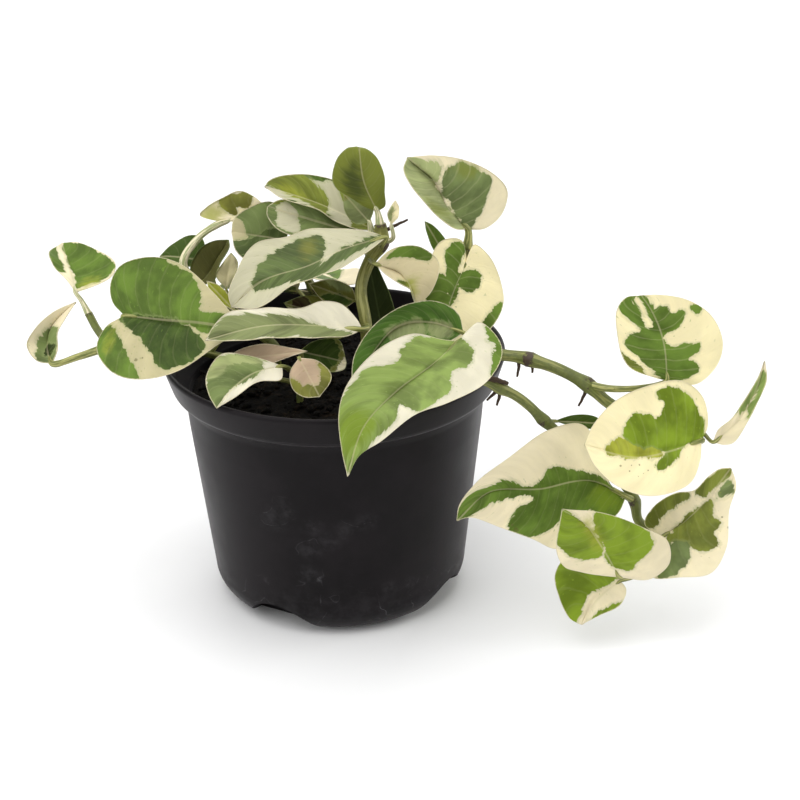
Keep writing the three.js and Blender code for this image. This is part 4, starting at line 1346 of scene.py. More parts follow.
# Leaves, sizes in millimetres and degrees
LEAVES: dict[str, Leaf] = {
    # Left of the pot
    "leaf_left_large": Leaf(
        on="stem_left", at=2, via=[[-75, -9, 107], [-74, -15, 114]],
        base=[-72.5, -20, 117], tip=[-29.5, -30, 114.5], roll=-15, fold=[8, 12],
        left=[[-5, 4], [-7, 10.5], [-4.5, 17.5], [5, 22], [18, 20], [31, 11.5]],
        right=[[-5.5, -5], [-7, -13.5], [-0.5, -21], [9, -23.5], [24, -18], [36.5, -6]],
        rib=[[13, 0.5], [28, 1]],
    ),
    "leaf_left_top": Leaf(
        on="stem_left", at=5, via=[[-90.5, 2, 114]],
        base=[-92.5, 2, 117.5], tip=[-99.5, 24, 128.5], roll=15, bow=2, fold=[15, 8],
        left=[[6.5, 2.5], [14, 5.5], [21, 5.5]],
        right=[[0.5, -7], [3, -14], [8, -16.5], [17.5, -11.5], [23.5, -5.5]],
        rib=[[10, 0], [19, 0]],
    ),
    "leaf_left_rolled": Leaf(
        on="stem_left", at=3, via=[[-92, -6.5, 96]], stalk=1.5,
        base=[-101.5, -8, 94], tip=[-92.5, 2, 114], bow=1, fold=[45, 45],
        left=[[-1, 5.5], [3, 11], [9, 10.5], [18, 6]],
        right=[[5.5, 0], [11, 2], [16.5, 1.5]],
        rib=[[4, 4], [12, 5.5]],
    ),
    # Behind, on the left
    "leaf_back_dark": Leaf(
        on="stem_back_left", at=1, via=[[-44, 18, 114]],
        base=[-46, 20, 121.5], tip=[-64, 24, 122.5], roll=15, bow=2,
        left=[[4, 3], [10, 2.5]],
        right=[[3.5, -8.5], [9, -8.5], [14.5, -4.5]],
    ),
    "leaf_back_folded": Leaf(
        on="stem_back_left", at=1, via=[[-46, 11, 112]], stalk=0.9,
        base=[-48.5, 10, 116.5], tip=[-37.5, 16, 131.5], roll=-10, bow=1, fold=[35, 35],
        left=[[3, 6], [10.5, 7], [16, 4.5]],
        right=[[3.5, -4], [11, -2.5], [17.5, -2]],
    ),
    "leaf_back_pale": Leaf(
        on="stem_back_left", at=0, via=[[-36, 9, 108]], stalk=0.8,
        base=[-38.5, 6, 116], tip=[-36.5, 12, 128], roll=10, bow=1,
        left=[[4.5, 4.5], [9.5, 2.5]],
        right=[[3, -1.5], [10, -3]],
    ),
    "leaf_back_curled": Leaf(
        on="stem_back_left", at=2, via=[[-54.5, 15.5, 123], [-48.5, 19, 131.5], [-41.5, 20, 136]],
        base=[-38, 22, 136.5], tip=[-24.6, 19, 143.9], roll=10, bow=1, stalk=1.6,
        left=[[-4.5, 2.5], [-8.5, 6.5], [-4.5, 8], [3.5, 8.5], [10, 8], [14, 3.5]],
        right=[[2, -1], [10.5, -1]],
    ),
    "leaf_back_olive": Leaf(
        on="stem_left", at=0, via=[[-40, -2, 101]], stalk=0.8,
        base=[-35, 0, 109.5], tip=[-45.5, 6, 119.5], bow=1,
        left=[[7, 2], [12.5, 1.5]],
        right=[[6, -2.5], [12, -2]],
    ),
    # Middle of the plant
    "leaf_mid_round": Leaf(
        on="stem_back", at=2, via=[[-14, 15, 127]],
        base=[-16.4, 15, 130.9], tip=[-35.6, 7, 137.5], roll=20,
        left=[[5, 9], [15, 12.5], [21, 8]],
        right=[[0, -8.5], [7, -13], [16, -9.5], [21.5, -4.5]],
    ),
    "leaf_mid_striped": Leaf(
        on="stem_crown", at=3,
        base=[16, 16, 133.5], tip=[-23.5, 14, 152.1], roll=25, bow=4,
        left=[[9.5, 4], [24, 3], [36, 3]],
        right=[[8.5, -8], [19, -10.5], [27, -10.5], [38, -6.5], [43, -2.5]],
    ),
    "leaf_mid_olive": Leaf(
        on="stem_crown", at=2, via=[[12, 9, 130]],
        base=[11, 14, 132.8], tip=[-22.6, 11, 145.7], roll=25, bow=2,
        left=[[6, 5.5], [18.5, 10], [30.5, 8.5], [35.5, 4]],
        right=[[7, -3.5], [15, -4.5], [25, -4.5], [32.5, -3.5]],
    ),
    "leaf_mid_long": Leaf(
        on="stem_crown", at=3, via=[[18.5, -0.5, 134.5]],
        base=[20, -1, 137.4], tip=[-35, -18, 118.5], roll=32, bow=4, fold=[10, 6],
        left=[[7.5, 3.5], [17.5, 6], [29, 6], [40.5, 5.5], [52, 6.5], [58.5, 2]],
        right=[[4.5, -4.5], [20.5, -13.5], [33, -15.5], [43, -19], [53.5, -11.5], [59.5, -5]],
        rib=[[16, -1.5], [30, -0.5], [47.5, -4]],
    ),
    "leaf_mid_flat": Leaf(
        on="stem_crown", at=0, via=[[13, -15, 108.5]], stalk=1.3,
        base=[11, -20, 110], tip=[-43, -38, 114.5], roll=28, bow=2, fold=[10, 12],
        left=[[7, 3], [23.5, 2.5], [41, 2], [51.5, 1]],
        right=[[1.5, -4.5], [6, -10.5], [13, -12], [21, -9], [34.5, -10.5], [47, -10], [53, -5.5]],
        rib=[[18.5, -2.5], [36, -3.5]],
    ),
    "leaf_mid_drooping": Leaf(
        on="stem_crown", at=2,
        base=[15.8, -6, 129.3], tip=[30.3, -9, 113.8], bow=2, fold=[6, 35],
        left=[[0, 7], [3, 12.5], [7.5, 16], [15.5, 16.5], [21, 8]],
        right=[[5, 0], [12, 1.5], [15.5, 2.5]],
        rib=[[9, 4.5]],
    ),
    "leaf_inner_dark": Leaf(
        on="stem_crown", at=-1, via=[[15.5, 1, 92]],
        base=[18, 3, 97.5], tip=[13, 11, 125.8], bow=2, fold=[20, 20],
        left=[[6, 4], [14, 4.5], [22, 3]],
        right=[[6, -5.5], [14, -5.5], [21, -4], [28, -2]],
    ),
    "leaf_inner_olive": Leaf(
        on="stem_crown", at=1, via=[[10.5, 4.5, 113]], stalk=0.8,
        base=[8.5, 6, 110.5], tip=[-8.5, 4, 118.5], roll=-10, bow=1,
        left=[[4.5, 4.5], [12, 4]],
        right=[[3.5, -4], [11.5, -4.5]],
    ),
    "leaf_inner_brown": Leaf(
        on="stem_crown", at=0, via=[[9.5, 3, 102]], stalk=0.8,
        base=[7, 12, 98.5], tip=[-18, 8, 109.5], bow=2,
        left=[[4, 6.5], [14, 7], [22, 4]],
        right=[[4, -5.5], [14, -6.5], [22, -4.5]],
    ),
    # Top of the plant
    "leaf_crown_green": Leaf(
        on="stem_crown", at=5, stalk=1.2,
        base=[17, 6, 144.5], tip=[11, 2, 169.5], cup=-1.5,
        left=[[3, 3.5], [8, 7], [14, 11.5], [19, 12], [25.5, 8], [27.5, 2]],
        right=[[1, -3], [7.5, -4.5], [14.5, -6], [21.5, -5], [25, -2.5]],
        rib=[[14, 1.5]],
    ),
    "leaf_crown_sheath": Leaf(
        on="stem_crown", at=3, via=[[22.3, 3, 135.5]], stalk=0.9,
        base=[21.8, 2, 141], tip=[23.5, 1, 150.5], bow=1, fold=[20, 20],
        left=[[4, 2], [8, 1]],
        right=[[4, -2], [8, -1.5]],
    ),
    "leaf_crown_wing": Leaf(
        on="stem_crown", at=3, via=[[14.5, 8, 135.5]], stalk=1.2,
        base=[14, 9, 139.5], tip=[5, 11, 150], bow=1, fold=[15, 15],
        left=[[3, 4], [9, 4]],
        right=[[3, -4.5], [9, -4]],
    ),
    "leaf_crown_right": Leaf(
        on="stem_right", at=2, stalk=1.5,
        base=[49.5, 12, 135], tip=[28, 2, 166], roll=8, fold=[25, 6],
        left=[[5.5, 4], [20, 6.5], [32, 6], [37.5, 4]],
        right=[[-4.5, -5], [-5, -13], [0, -19.5], [10.5, -19.5], [23, -14.5], [33, -7]],
        rib=[[13, 0.5], [23, -2]],
    ),
    # Right side of the pot
    "leaf_right_cream": Leaf(
        on="stem_right", at=1,
        base=[49, 7, 124.5], tip=[42.3, -8, 98.5], roll=-8, fold=[8, 8],
        left=[[-6.5, 1], [-3.5, 7], [4.5, 13], [12.5, 15.5], [22, 13], [30, 6.5]],
        right=[[-7, -4], [-5, -11], [3.5, -14], [14.5, -14], [24.5, -9.5]],
        rib=[[9.5, -2.5], [19, -3.5]],
    ),
    "leaf_right_spear": Leaf(
        on="stem_right", at=0, via=[[42, 16, 112.5]], stalk=0.8,
        base=[42.5, 18, 120.5], tip=[34, 22, 135], bow=1,
        left=[[5.5, 2.5], [13.5, 1.5]],
        right=[[6, -3], [14, -2]],
    ),
    # Front, over the rim
    "leaf_front_dark": Leaf(
        on="vine_upper", at=0, via=[[46, -15, 102]],
        base=[46.5, -24, 109.5], tip=[7, -44, 99.5], roll=10, bow=2, fold=[10, 8],
        left=[[9.5, 1.5], [26, 3], [39.5, 3]],
        right=[[-1.5, -6.5], [0.5, -11], [5, -15], [12.5, -17], [22.5, -17], [32, -14], [40.5, -8]],
        rib=[[9, -8.5], [21, -12]],
    ),
    "leaf_front_large": Leaf(
        on="vine_lower", at=1, via=[[45.5, -39, 107]], stalk=1.2,
        base=[45, -44, 115], tip=[5.5, -72, 78], bow=6, fold=[10, 8],
        left=[[-8.5, 0.5], [-8, 9.5], [-4, 14], [6.5, 15.5], [20.5, 10], [31, 4], [45, 1], [53, -1.5]],
        right=[[4, -5], [10, -14.5], [23.5, -20], [38, -20], [47, -16], [55.5, -7.5]],
        rib=[[13.5, -2.5], [28.5, -6], [45.5, -6.5]],
    ),
    "leaf_rim_left": Leaf(
        on="stem_front", at=2,
        base=[-17, -34, 102.5], tip=[-39, -54, 96], roll=15, fold=[10, 10],
        left=[[5.5, 4.5], [12, 1], [21, 1]],
        right=[[3.5, -4], [9.5, -10], [17.5, -14.5], [26.5, -11], [30, -5]],
        rib=[[9, -2.5], [19, -2.5]],
    ),
    "leaf_rim_cream": Leaf(
        on="stem_front", at=0, via=[[-24, -25, 95], [-34, -27, 99]], stalk=0.9,
        base=[-37.5, -27.5, 102], tip=[-8, -31.5, 107], bow=1,
        left=[[4.5, 3], [14.5, 4.5], [24, 2]],
        right=[[5.5, -2.5], [13.5, -3.5], [22, -1.5]],
    ),
    "leaf_rim_round": Leaf(
        on="stem_front", at=1, via=[[-10.5, -31, 101]], stalk=0.9,
        base=[-11, -36, 106.5], tip=[-4, -44, 95], bow=1,
        left=[[4.5, 5.5], [11.5, 7]],
        right=[[3, -5], [9, -7], [13.5, -4.5]],
    ),
    "leaf_rim_shaded": Leaf(
        on="stem_front", at=1, via=[[-9, -22, 98.5]], stalk=0.9,
        base=[-11.5, -23, 103.5], tip=[5, -20, 97.5], bow=1,
        left=[[4, 4.5], [13, 7]],
        right=[[2, -4.5], [11.5, -5], [17.5, -2.5]],
    ),
    # Upper trailing vine
    "leaf_vine_round": Leaf(
        on="vine_upper", at=6, via=[[98, -33, 91], [108, -34.5, 91.8]], stalk=1.3,
        base=[117, -36, 95], tip=[108, -28, 124], roll=8, bow=2, fold=[10, 8],
        left=[[2.5, 4], [9.5, 12], [19.5, 13], [29, 10.5], [32.5, 5.5]],
        right=[[-2.5, -4], [-4.5, -10], [-0.5, -18.5], [6.5, -22.5], [17, -21.5], [24.5, -15.5],
            [29.5, -6.5]],
        rib=[[12.5, -3], [23.5, -2.5]],
    ),
    "leaf_vine_cream": Leaf(
        on="vine_upper", at=10,
        base=[128.5, -46, 76.5], tip=[86.5, -58, 81.5], roll=8, fold=[8, 8],
        left=[[2, 7.5], [7.5, 15.5], [23, 19], [35, 14.5], [41.5, 7]],
        right=[[-2.5, -5], [-1, -15], [6, -20.5], [19, -19.5], [32, -14.5], [41, -6]],
        rib=[[12, 3.5], [25.5, 5.5], [36.5, 3]],
    ),
    "leaf_vine_rolled": Leaf(
        on="vine_upper", at=9, via=[[129, -37.5, 76]], stalk=0.9,
        base=[133, -43.5, 74.5], tip=[148.3, -50, 108], bow=1, fold=[25, 25],
        left=[[5.5, 1], [12.5, -1], [20, -1], [30, -1]],
        right=[[1, -3.5], [3.5, -6], [9, -6.5], [15, -6], [23, -5.5], [31.5, -4]],
        rib=[[8, -2.5], [20, -3.5]],
    ),
    # Lower trailing vine
    "leaf_trail_large": Leaf(
        on="vine_lower", at=9, stalk=1.2,
        base=[103, -44, 54], tip=[42.5, -58, 53], fold=[8, 8],
        left=[[5, 6], [18.5, 9], [28, 14.5], [36.5, 10], [47, 4.5], [57, -0.5]],
        right=[[5.5, -5], [7.5, -17.5], [13.5, -27.5], [26.5, -27], [40, -20], [53.5, -12.5], [60.5, -5.5]],
        rib=[[12.5, -7.5], [31, -7], [49, -8.5]],
    ),
    "leaf_trail_sliver": Leaf(
        on="vine_lower", at=6, stalk=0.8,
        base=[78, -31, 78], tip=[96.5, -33, 77.5], bow=1,
        left=[[7, 2.5], [14, 2.5]],
        right=[[7, -1.5], [14.5, -2]],
    ),
    "leaf_trail_lime": Leaf(
        on="vine_lower", at=13, via=[[106, -57, 32.5]],
        base=[99, -64, 32.7], tip=[78, -72, 64], bow=2, fold=[10, 8],
        left=[[7, 4.5], [20, 12], [27.5, 11], [34.5, 4.5]],
        right=[[-9, -8], [-9, -16.5], [0.5, -21], [12, -17], [27.5, -9.5]],
        rib=[[14.5, -2], [27, -3]],
    ),
    "leaf_trail_low": Leaf(
        on="vine_lower", at=12, via=[[110.5, -48.5, 26.5], [105, -51.5, 25.5]], stalk=0.9,
        base=[100.5, -55.5, 26.5], tip=[86.5, -60, 11.5], bow=1, fold=[10, 8],
        left=[[1, 3.5], [6.5, 5.5], [14, 2.5]],
        right=[[-1.5, -11.5], [5, -20], [13.5, -19], [19, -12], [22, -4.5]],
        rib=[[9.5, -1.5]],
    ),
    "leaf_trail_right": Leaf(
        on="vine_lower", at=11,
        base=[115.2, -51, 41.4], tip=[139.2, -46, 65.5], roll=-8, bow=2, fold=[12, 8],
        left=[[-1, 7.5], [6, 9.5], [14.5, 7.5], [20, 3.5], [26.5, 3.5], [31.5, 2.5]],
        right=[[-7, -4.5], [-12.5, -7.5], [-5.5, -14.5], [3.5, -21], [13.5, -18.5], [23.5, -10],
            [31.5, -5.5]],
        rib=[[9.5, -2], [22.5, -1.5]],
    ),
    # Rear of the plant
    "leaf_rear_left": Leaf(
        on="stem_back", at=0, via=[[-10, 29, 101]],
        base=[-14, 34, 104], tip=[-46, 48, 100], roll=105,
        left=[[-3, 6], [4, 12], [16, 12], [27, 6]],
    ),
    "leaf_rear_middle": Leaf(
        on="stem_back", at=0, via=[[2, 31, 101]],
        base=[4, 38, 104], tip=[-10, 64, 101], roll=60,
        left=[[-3, 6], [4, 11], [14, 10], [23, 5]],
    ),
    "leaf_rear_right": Leaf(
        on="stem_right", at=-1, via=[[39, 18, 97]],
        base=[38, 30, 104], tip=[52, 56, 98], roll=-60,
        left=[[-3, 6], [4, 11], [15, 10], [24, 5]],
    ),
    "leaf_rear_high": Leaf(
        on="stem_back", at=1, via=[[-10, 25, 117]],
        base=[-12, 28, 121], tip=[-34, 38, 125], roll=90, bow=2,
        left=[[-2, 5], [4, 8], [13, 7], [20, 4]],
    ),
    "leaf_rear_small": Leaf(
        on="stem_right", at=1, via=[[48, 18, 115]], stalk=0.9,
        base=[48, 23, 112], tip=[61, 37, 106], roll=-70, bow=2,
        left=[[-1, 4], [4, 7], [12, 6], [17, 3]],
    ),
}

# Finish of each leaf, with its areas as [along, across] from the blade's base
LOOKS: dict[str, LeafFinish] = {
    # Cream ground darkened as painted shade
    "leaf_left_large": LeafFinish(
        Tone.SHADED_CREAM, second=Tone.DEEP, specks=[[8, -16, 0.7], [10, -15, 0.4]],
        first_areas=([[-8, 9], [-8, 15], [-2, 21], [7, 24], [14, 20], [23, 16], [27, 10], [25, 2], [13, -3],
            [0, -3]],
            [[22, 2], [27, 4], [37, 5], [36, 0], [31, -3]],
            [[-4, -4], [-9, -12], [-6, -18], [-1, -24], [7, -26], [11, -23], [4, -14], [-1, -7]]),
        second_areas=([[0, -1], [13, 1], [22, 0], [28, -4], [31, -8], [30, -12], [19, -18], [10, -10]],),
        accent_areas=([[-3, -5], [-4, -10], [-4, -14], [-2, -10]],),
    ),
    "leaf_left_top": LeafFinish(
        Tone.CREAM, pale_stalk=True,
        first_areas=([[25, -1], [22, -8], [14, -13], [7, -16], [3, -12], [2, -5], [1, -1], [8, -1], [14, 0]],
            [[23, 5], [26, 2], [18, 3], [10, 2], [10, 4], [16, 6]]),
        accent_areas=([[4, -3], [3, -9], [-1, -3]],),
    ),
    "leaf_left_rolled": LeafFinish(
        Tone.CREAM, first=Tone.GREY, second=Tone.SHADE, slot=Slot.OLIVE,
        first_areas=([[13, 2], [7, 1], [0, -1], [-3, 1], [-1, 6], [4, 8], [9, 8], [12, 6]],),
        second_areas=([[7, 2], [3, 2], [2, 4], [5, 5]],),
    ),
    "leaf_back_dark": LeafFinish(Tone.DEEP, first=Tone.SHADE, slot=Slot.DEEP, margin=Tone.SAGE),
    "leaf_back_folded": LeafFinish(Tone.HUSK, first=Tone.SHADE, slot=Slot.DEEP, margin=Tone.GREY,
        rib=Tone.SAGE),
    # Cream ground darkened as painted shade
    "leaf_back_pale": LeafFinish(Tone.SHADED_CREAM, first=Tone.OLIVE, slot=Slot.GREY, margin=Tone.SAGE),
    "leaf_back_curled": LeafFinish(
        Tone.CREAM, first=Tone.OLIVE, slot=Slot.OLIVE, pale_stalk=True,
        first_areas=([[2, 3], [1, 7], [5, 9], [9, 7], [14, 8], [13, 3], [9, 1], [6, 3], [4, 0]],),
        accent_areas=([[-10, 5], [-6, 8], [1, 5], [-4, 0], [-9, 2]],),
    ),
    "leaf_back_olive": LeafFinish(Tone.LIME, first=Tone.OLIVE, slot=Slot.OLIVE),
    # Cream ground darkened as painted shade
    "leaf_mid_round": LeafFinish(
        Tone.SHADED_CREAM, first=Tone.GREY, second=Tone.PINE, slot=Slot.GREY,
        first_areas=([[25, -14], [-8, -21], [-7, 14], [25, 18]],),
        cut_areas=([[25, -6], [25, 3], [18, 3], [16, 0], [19, -5]],),
        # The second area darkens the blade's lower half as painted shade
        second_areas=([[23, 4], [15, 2], [11, -1], [-2, -6], [-4, 10], [11, 16], [20, 14]],),
    ),
    # Grey cream ground darkened as painted shade
    "leaf_mid_striped": LeafFinish(
        Tone.SHADED_PEARL, first=Tone.DEEP, second=Tone.MOSS, slot=Slot.OLIVE,
        first_areas=([[44, 0], [36, -7], [26, -12], [18, -11], [26, -9], [35, -5]],
            [[36, 3], [23, 3], [17, 3], [22, 6], [30, 4]]),
        second_areas=([[44, -2], [38, -7], [31, -9], [26, -7], [20, -2], [21, 4], [27, 2], [36, 0]],
            [[19, -10], [15, -10], [4, -5], [-1, 2], [8, 7], [11, 0], [15, -5]]),
        accent_areas=([[38, -2], [33, -3], [28, -1], [34, 0]],),
    ),
    # Grey cream ground darkened as painted shade
    "leaf_mid_olive": LeafFinish(
        Tone.SHADED_PEARL, first=Tone.GREY, second=Tone.MOSS, slot=Slot.GREY,
        first_areas=([[38, -4], [30, -12], [14, -9], [4, -4], [2, 0], [7, 3], [18, 9], [28, 10], [37, 4]],),
        cut_areas=([[32, -4], [26, -2], [23, 8], [31, 7]],),
        second_areas=([[37, -2], [34, -8], [26, -12], [14, -9], [20, -7], [28, -6], [32, -2]],),
    ),
    # Grey cream ground darkened as painted shade
    "leaf_mid_long": LeafFinish(
        Tone.SHADED_PEARL, first=Tone.PINE, accent=Tone.OLIVE, slot=Slot.CREAM,
        first_areas=([[43, -11], [38, -12], [29, -12], [21, -10], [22, -4], [27, 2], [32, 5], [39, 3],
            [51, -2], [48, -7]],
            [[35, 5], [24, 1], [15, -2], [-1, -1], [15, 3], [24, 5], [32, 7]]),
        accent_areas=([[28, -10], [24, -10], [25, -5], [29, -4], [30, -8]],),
    ),
    "leaf_mid_flat": LeafFinish(
        Tone.MILK, first=Tone.MIST, slot=Slot.GREY,
        first_areas=([[57, -1], [52, -6], [44, -9], [36, -8], [28, -7], [22, -5], [12, -1], [4, 2], [8, 4],
            [24, 2], [45, 2]],),
    ),
    "leaf_mid_drooping": LeafFinish(
        Tone.SAND, second=Tone.DEEP, slot=Slot.CREAM,
        first_areas=([[1, 3], [1, 10], [3, 15], [9, 18], [13, 15], [8, 11], [4, 8]],),
        second_areas=([[10, 1], [13, 4], [15, 2], [13, 0]],),
        accent_areas=([[11, 5], [14, 8], [17, 4], [19, -1], [14, 1]],),
    ),
    "leaf_inner_dark": LeafFinish(Tone.SHADE, first=Tone.DEEP, slot=Slot.DEEP, margin=Tone.GREY,
        rib=Tone.GREY),
    "leaf_inner_olive": LeafFinish(
        Tone.OLIVE, first=Tone.DEEP, second=Tone.SAGE, slot=Slot.OLIVE,
        first_areas=([[2, 1], [7, 4], [13, 3], [8, 0]],),
        second_areas=([[3, -3], [9, -5], [16, -4], [10, -2]],),
    ),
    "leaf_inner_brown": LeafFinish(
        Tone.OLIVE, first=Tone.BARK, second=Tone.CREAM, slot=Slot.OLIVE, margin=Tone.SAGE,
        first_areas=([[3, 1], [9, 5], [15, 3], [9, 0]], [[18, -1], [24, 1], [25, -3], [20, -4]]),
        second_areas=([[13, 6], [20, 5], [26, 1], [20, 2]], [[2, -3], [8, -6], [14, -7], [9, -3]]),
    ),
    "leaf_crown_green": LeafFinish(
        Tone.MOSS, slot=Slot.DEEP, margin=Tone.SAGE, accent=Tone.SHADE, pale_stalk=True,
        accent_areas=([[23, 3], [19, 8], [10, 8], [7, 5], [9, 2], [16, 2]],),
    ),
    "leaf_crown_sheath": LeafFinish(
        Tone.BUTTER, first=Tone.SAGE, slot=Slot.CREAM, flecks=0.3, pale_stalk=True,
        first_areas=([[2, 1], [6, 3], [9, 3], [6, 0]],),
    ),
    "leaf_crown_wing": LeafFinish(
        Tone.OLIVE, first=Tone.MIST, slot=Slot.BUTTER, margin=Tone.SAGE, pale_stalk=True, flecks=0.3,
        first_areas=([[1, 3], [9, 5], [12, 0], [9, -4], [1, -3]],),
    ),
    "leaf_crown_right": LeafFinish(
        Tone.CREAM, first=Tone.SAGE, second=Tone.GREY, accent=Tone.MOSS, slot=Slot.CREAM, veins=0.08,
        first_areas=([[43, 1], [38, -1], [29, -7], [23, -2], [14, 0], [2, 1], [5, 8], [15, 12], [29, 13],
            [40, 9]],),
        second_areas=([[22, -3], [24, -7], [25, -10], [22, -14], [16, -16], [10, -18], [6, -14], [3, -10],
            [1, -5], [0, 0], [7, 0], [15, -1]],),
        accent_areas=([[24, -9], [23, -14], [16, -17], [15, -13], [20, -10]],
            [[8, 3], [18, 6], [24, 5], [12, 2]]),
    ),
    "leaf_right_cream": LeafFinish(
        Tone.BUTTER, second=Tone.LEAF, slot=Slot.BUTTER, veins=0.07,
        first_areas=([[-2, -9], [-6, -7], [-5, -2], [6, -3], [12, -1], [17, -3], [12, -6], [5, -7]],
            [[13, -17], [9, -14], [7, -8], [12, -5], [18, -4], [18, -10], [16, -14]],
            [[6, -3], [3, 0], [3, 5], [7, 6], [11, 3], [10, -1]]),
        second_areas=([[23, 10], [17, 11], [12, 15], [15, 18], [22, 14]],),
    ),
    "leaf_right_spear": LeafFinish(Tone.LEAF, first=Tone.DEEP, margin=Tone.GREY),
    "leaf_front_dark": LeafFinish(
        Tone.CREAM, first=Tone.JADE, second=Tone.MIST, slot=Slot.DEEP,
        first_areas=([[46, -3], [41, -12], [32, -19], [22, -22], [8, -22], [-1, -15], [-6, -6], [-3, 4],
            [12, 4], [24, 0], [36, -2]],),
        second_areas=([[26, -12], [24, -8], [18, -6], [13, -6], [12, -10], [18, -12]],
            [[9, -8], [3, -5], [5, -1], [11, -3]]),
    ),
    "leaf_front_large": LeafFinish(
        Tone.MILK, first=Tone.FRESH, second=Tone.LEAF, accent=Tone.BRIGHT,
        first_areas=([[-1, 1], [1, 6], [5, 7], [12, 5], [15, 8], [19, 8], [25, 6], [30, 4], [32, -2], [36, 0],
            [47, -1], [59, 0], [61, -2], [56, -8], [52, -14], [45, -18], [37, -19], [30, -18], [19, -12],
            [16, -14], [11, -13], [6, -9], [1, -4]],),
        second_areas=([[-11, 3], [-12, 7], [-9, 15], [1, 19], [4, 15], [-4, 11], [-7, 5]],),
        accent_areas=([[40, -5], [44, -14], [52, -13], [58, -5], [50, -3]],),
    ),
    "leaf_rim_left": LeafFinish(
        Tone.MILK, first=Tone.GREY, second=Tone.SAGE, slot=Slot.GREY,
        first_areas=([[33, -1], [28, -9], [21, -13], [12, -12], [6, -7], [8, -2], [24, -2], [30, 0]],),
        second_areas=([[28, -13], [20, -15], [10, -10], [4, -4], [8, -5], [16, -10], [24, -9]],),
    ),
    # Pink blush ground darkened as painted shade
    "leaf_rim_cream": LeafFinish(Tone.SHADED_ROSE, slot=Slot.CREAM, flecks=0.3),
    # Pink blush ground darkened as painted shade
    "leaf_rim_round": LeafFinish(
        Tone.SHADED_ROSE, first=Tone.OLIVE, slot=Slot.OLIVE,
        first_areas=([[5, 5], [9, 4], [11, 2], [10, -2], [6, -5], [4, -9], [12, -9], [19, -4], [19, 3],
            [13, 8], [5, 9]],),
    ),
    "leaf_rim_shaded": LeafFinish(
        Tone.OLIVE, first=Tone.DEEP, second=Tone.CREAM, slot=Slot.DEEP, margin=Tone.SAGE,
        first_areas=([[2, 4], [10, 7], [15, 1], [11, -5], [3, -4]],),
        second_areas=([[12, 9], [19, 6], [20, 1], [17, -4], [12, -7], [15, -2], [16, 2], [15, 5]],),
    ),
    "leaf_vine_round": LeafFinish(
        Tone.BUTTER, second=Tone.MOSS, slot=Slot.BUTTER, veins=0.08,
        first_areas=([[34, 8], [31, -1], [26, -3], [25, -8], [22, -8], [21, -13], [17, -11], [15, -4],
            [11, -5], [9, -15], [6, -14], [5, -9], [3, -12], [0, -12], [-1, 0], [2, 3], [9, 6], [15, 10],
            [20, 10], [19, 4], [24, 6], [28, 9]],
            [[22, -16], [22, -18], [20, -19], [19, -17], [20, -16]]),
        cut_areas=([[31, 3], [27, 2], [20, 1], [20, -1], [27, 0], [31, 1]],),
        second_areas=([[18, 15], [12, 11], [5, 7], [4, 12], [12, 17]],),
    ),
    "leaf_vine_cream": LeafFinish(
        Tone.BUTTER, first=Tone.BRIGHT, second=Tone.LIME, slot=Slot.BUTTER,
        specks=[[32, 8, 0.4], [29, 10, 0.3], [25, 8, 0.4], [22, 10, 0.3], [26, 12, 0.3], [18, 10, 0.3],
            [30, 6, 0.3], [28, 8, 0.2], [24, 11, 0.2]],
        first_areas=([[-1, -1], [0, -8], [3, -14], [7, -17], [12, -19], [16, -18], [16, -15], [14, -13],
            [17, -8], [21, -10], [25, -10], [29, -6], [30, -3], [28, 1], [26, 3], [18, 4], [10, 3], [5, 1]],
            [[14, 4], [9, 3], [12, 7], [17, 10], [19, 9], [17, 6]]),
        second_areas=([[37, 3], [31, -2], [27, 0], [22, 2], [16, 3], [15, 5], [24, 6], [31, 5]],),
    ),
    "leaf_vine_rolled": LeafFinish(
        Tone.CREAM, first=Tone.FRESH, slot=Slot.CREAM,
        first_areas=([[13, -1], [24, 2], [32, 1], [34, -3], [32, -6], [24, -7], [14, -7], [18, -4]],),
        cut_areas=([[16, -3], [26, -3], [30, -3], [24, -4]],),
    ),
    "leaf_trail_large": LeafFinish(
        Tone.CREAM, accent=Tone.BRIGHT, slot=Slot.CREAM, specks=[[42, 6, 1.0], [43, 4, 0.5]],
        first_areas=([[62, 0], [58, -8], [49, -11], [43, -12], [36, -9], [30, -10], [27, -14], [19, -12],
            [9, -8], [4, -3], [-1, 6], [7, 6], [16, 3], [24, 5], [32, 8], [41, 9], [45, 5], [41, 0], [34, -4],
            [46, -5], [53, -3]],),
        accent_areas=([[2, 2], [9, 5], [14, 0], [8, -5]],),
    ),
    "leaf_trail_sliver": LeafFinish(Tone.DEEP, first=Tone.SHADE, slot=Slot.DEEP, margin=Tone.LEAF),
    "leaf_trail_lime": LeafFinish(
        Tone.CREAM, first=Tone.BRIGHT, second=Tone.BRIGHT,
        first_areas=([[39, 0], [34, 6], [28, 9], [20, 7], [13, 1], [15, -3], [24, -3], [34, -2]],),
        second_areas=([[29, -8], [22, -14], [12, -17], [3, -17], [0, -11], [1, -3], [10, 0], [14, -3],
            [23, -4]],),
        accent_areas=([[30, -5], [23, -5], [15, -2], [16, -1], [23, -1], [29, -2]],),
    ),
    "leaf_trail_low": LeafFinish(
        Tone.CREAM, first=Tone.BRIGHT, second=Tone.BRIGHT,
        first_areas=([[9, -22], [-1, -15], [-6, -3], [3, -2], [11, -5], [23, -2], [20, -12]],),
        second_areas=([[20, 1], [13, 2], [4, 6], [8, 8], [16, 4]],),
    ),
    "leaf_trail_right": LeafFinish(
        Tone.CREAM, first=Tone.MOSS, second=Tone.GREY, slot=Slot.CREAM, specks=[[20, -10, 0.4],
            [19, -14, 0.5]],
        first_areas=([[-1, 8], [6, 10], [14, 8], [18, 4], [5, 5], [0, 4]],
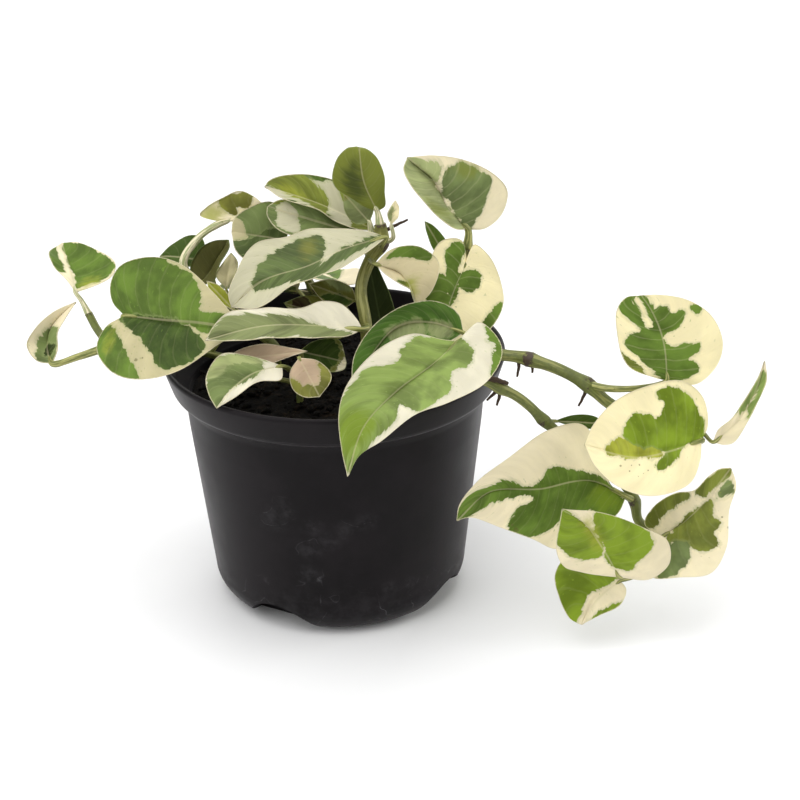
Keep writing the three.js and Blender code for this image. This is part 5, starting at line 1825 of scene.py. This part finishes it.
            [[20, 3], [27, 3], [35, 1], [32, -2], [26, -1], [20, 0]],
            [[4, -1], [12, -1], [22, -3], [18, -7], [19, -11], [14, -12], [13, -16], [6, -13], [4, -7],
            [0, -2]]),
        second_areas=([[-11, -9], [-4, -5], [2, -4], [5, -8], [2, -12], [-3, -13], [-8, -12]],
            [[23, -4], [31, -2], [30, -7], [24, -5]]),
    ),
    "leaf_rear_left": LeafFinish(
        Tone.CREAM, second=Tone.SAGE, slot=Slot.GREY,
        first_areas=([[0, 1], [8, 12], [22, 9], [26, 3], [18, 1]], [[4, -2], [10, -11], [24, -6], [16, -1]]),
        second_areas=([[20, 1], [30, 5], [34, 0], [26, -4]],),
    ),
    "leaf_rear_middle": LeafFinish(
        Tone.CREAM, slot=Slot.CREAM,
        first_areas=([[0, 1], [4, 9], [14, 8], [10, 1]], [[8, -1], [18, -7], [26, -3], [18, 0]]),
    ),
    "leaf_rear_right": LeafFinish(
        Tone.CREAM,
        first_areas=([[-2, 1], [4, 11], [18, 9], [24, 3], [12, 1]], [[0, -2], [4, -11], [14, -10], [20, -3]]),
    ),
    "leaf_rear_high": LeafFinish(
        Tone.CREAM,
        first_areas=([[0, 1], [4, 8], [14, 6], [20, 1]], [[2, -1], [8, -7], [18, -4], [14, -1]]),
    ),
    "leaf_rear_small": LeafFinish(
        Tone.CREAM, first=Tone.GREY, slot=Slot.GREY,
        first_areas=([[0, 1], [4, 6], [12, 5], [16, 1]], [[2, -1], [8, -5], [14, -3]]),
    ),
}


def report(piece: bpy.types.Object) -> None:
    """Writes one line about a finished piece."""
    LOG.info("%s: %d faces", piece.name, len(piece.data.polygons))


def main() -> None:
    """Builds the studio, the pot with its soil, the stems and the leaves."""
    logging.basicConfig(level=logging.INFO, format="%(message)s")
    Studio().build()
    report(Pot().build())
    report(Soil().build())
    bark, stem_skin = RootFinish().make("root_bark"), StemFinish().make("stem_skin")
    crown_skin = StemFinish(Tone.OLIVE, striped=0.9).make("crown_stem_skin")
    green_stalk = StalkFinish().make("stalk_skin")
    pale_stalk = StalkFinish(Tone.SAGE, Tone.CREAM).make("pale_stalk_skin")
    for name, stem in STEMS.items():
        report(stem.build(name, crown_skin if name == "stem_crown" else stem_skin, bark))
    for seed, (name, leaf) in enumerate(LEAVES.items()):
        look = LOOKS[name]
        report(leaf.build(name, STEMS, look, pale_stalk if look.pale_stalk else green_stalk, seed))


if __name__ == "__main__":
    main()
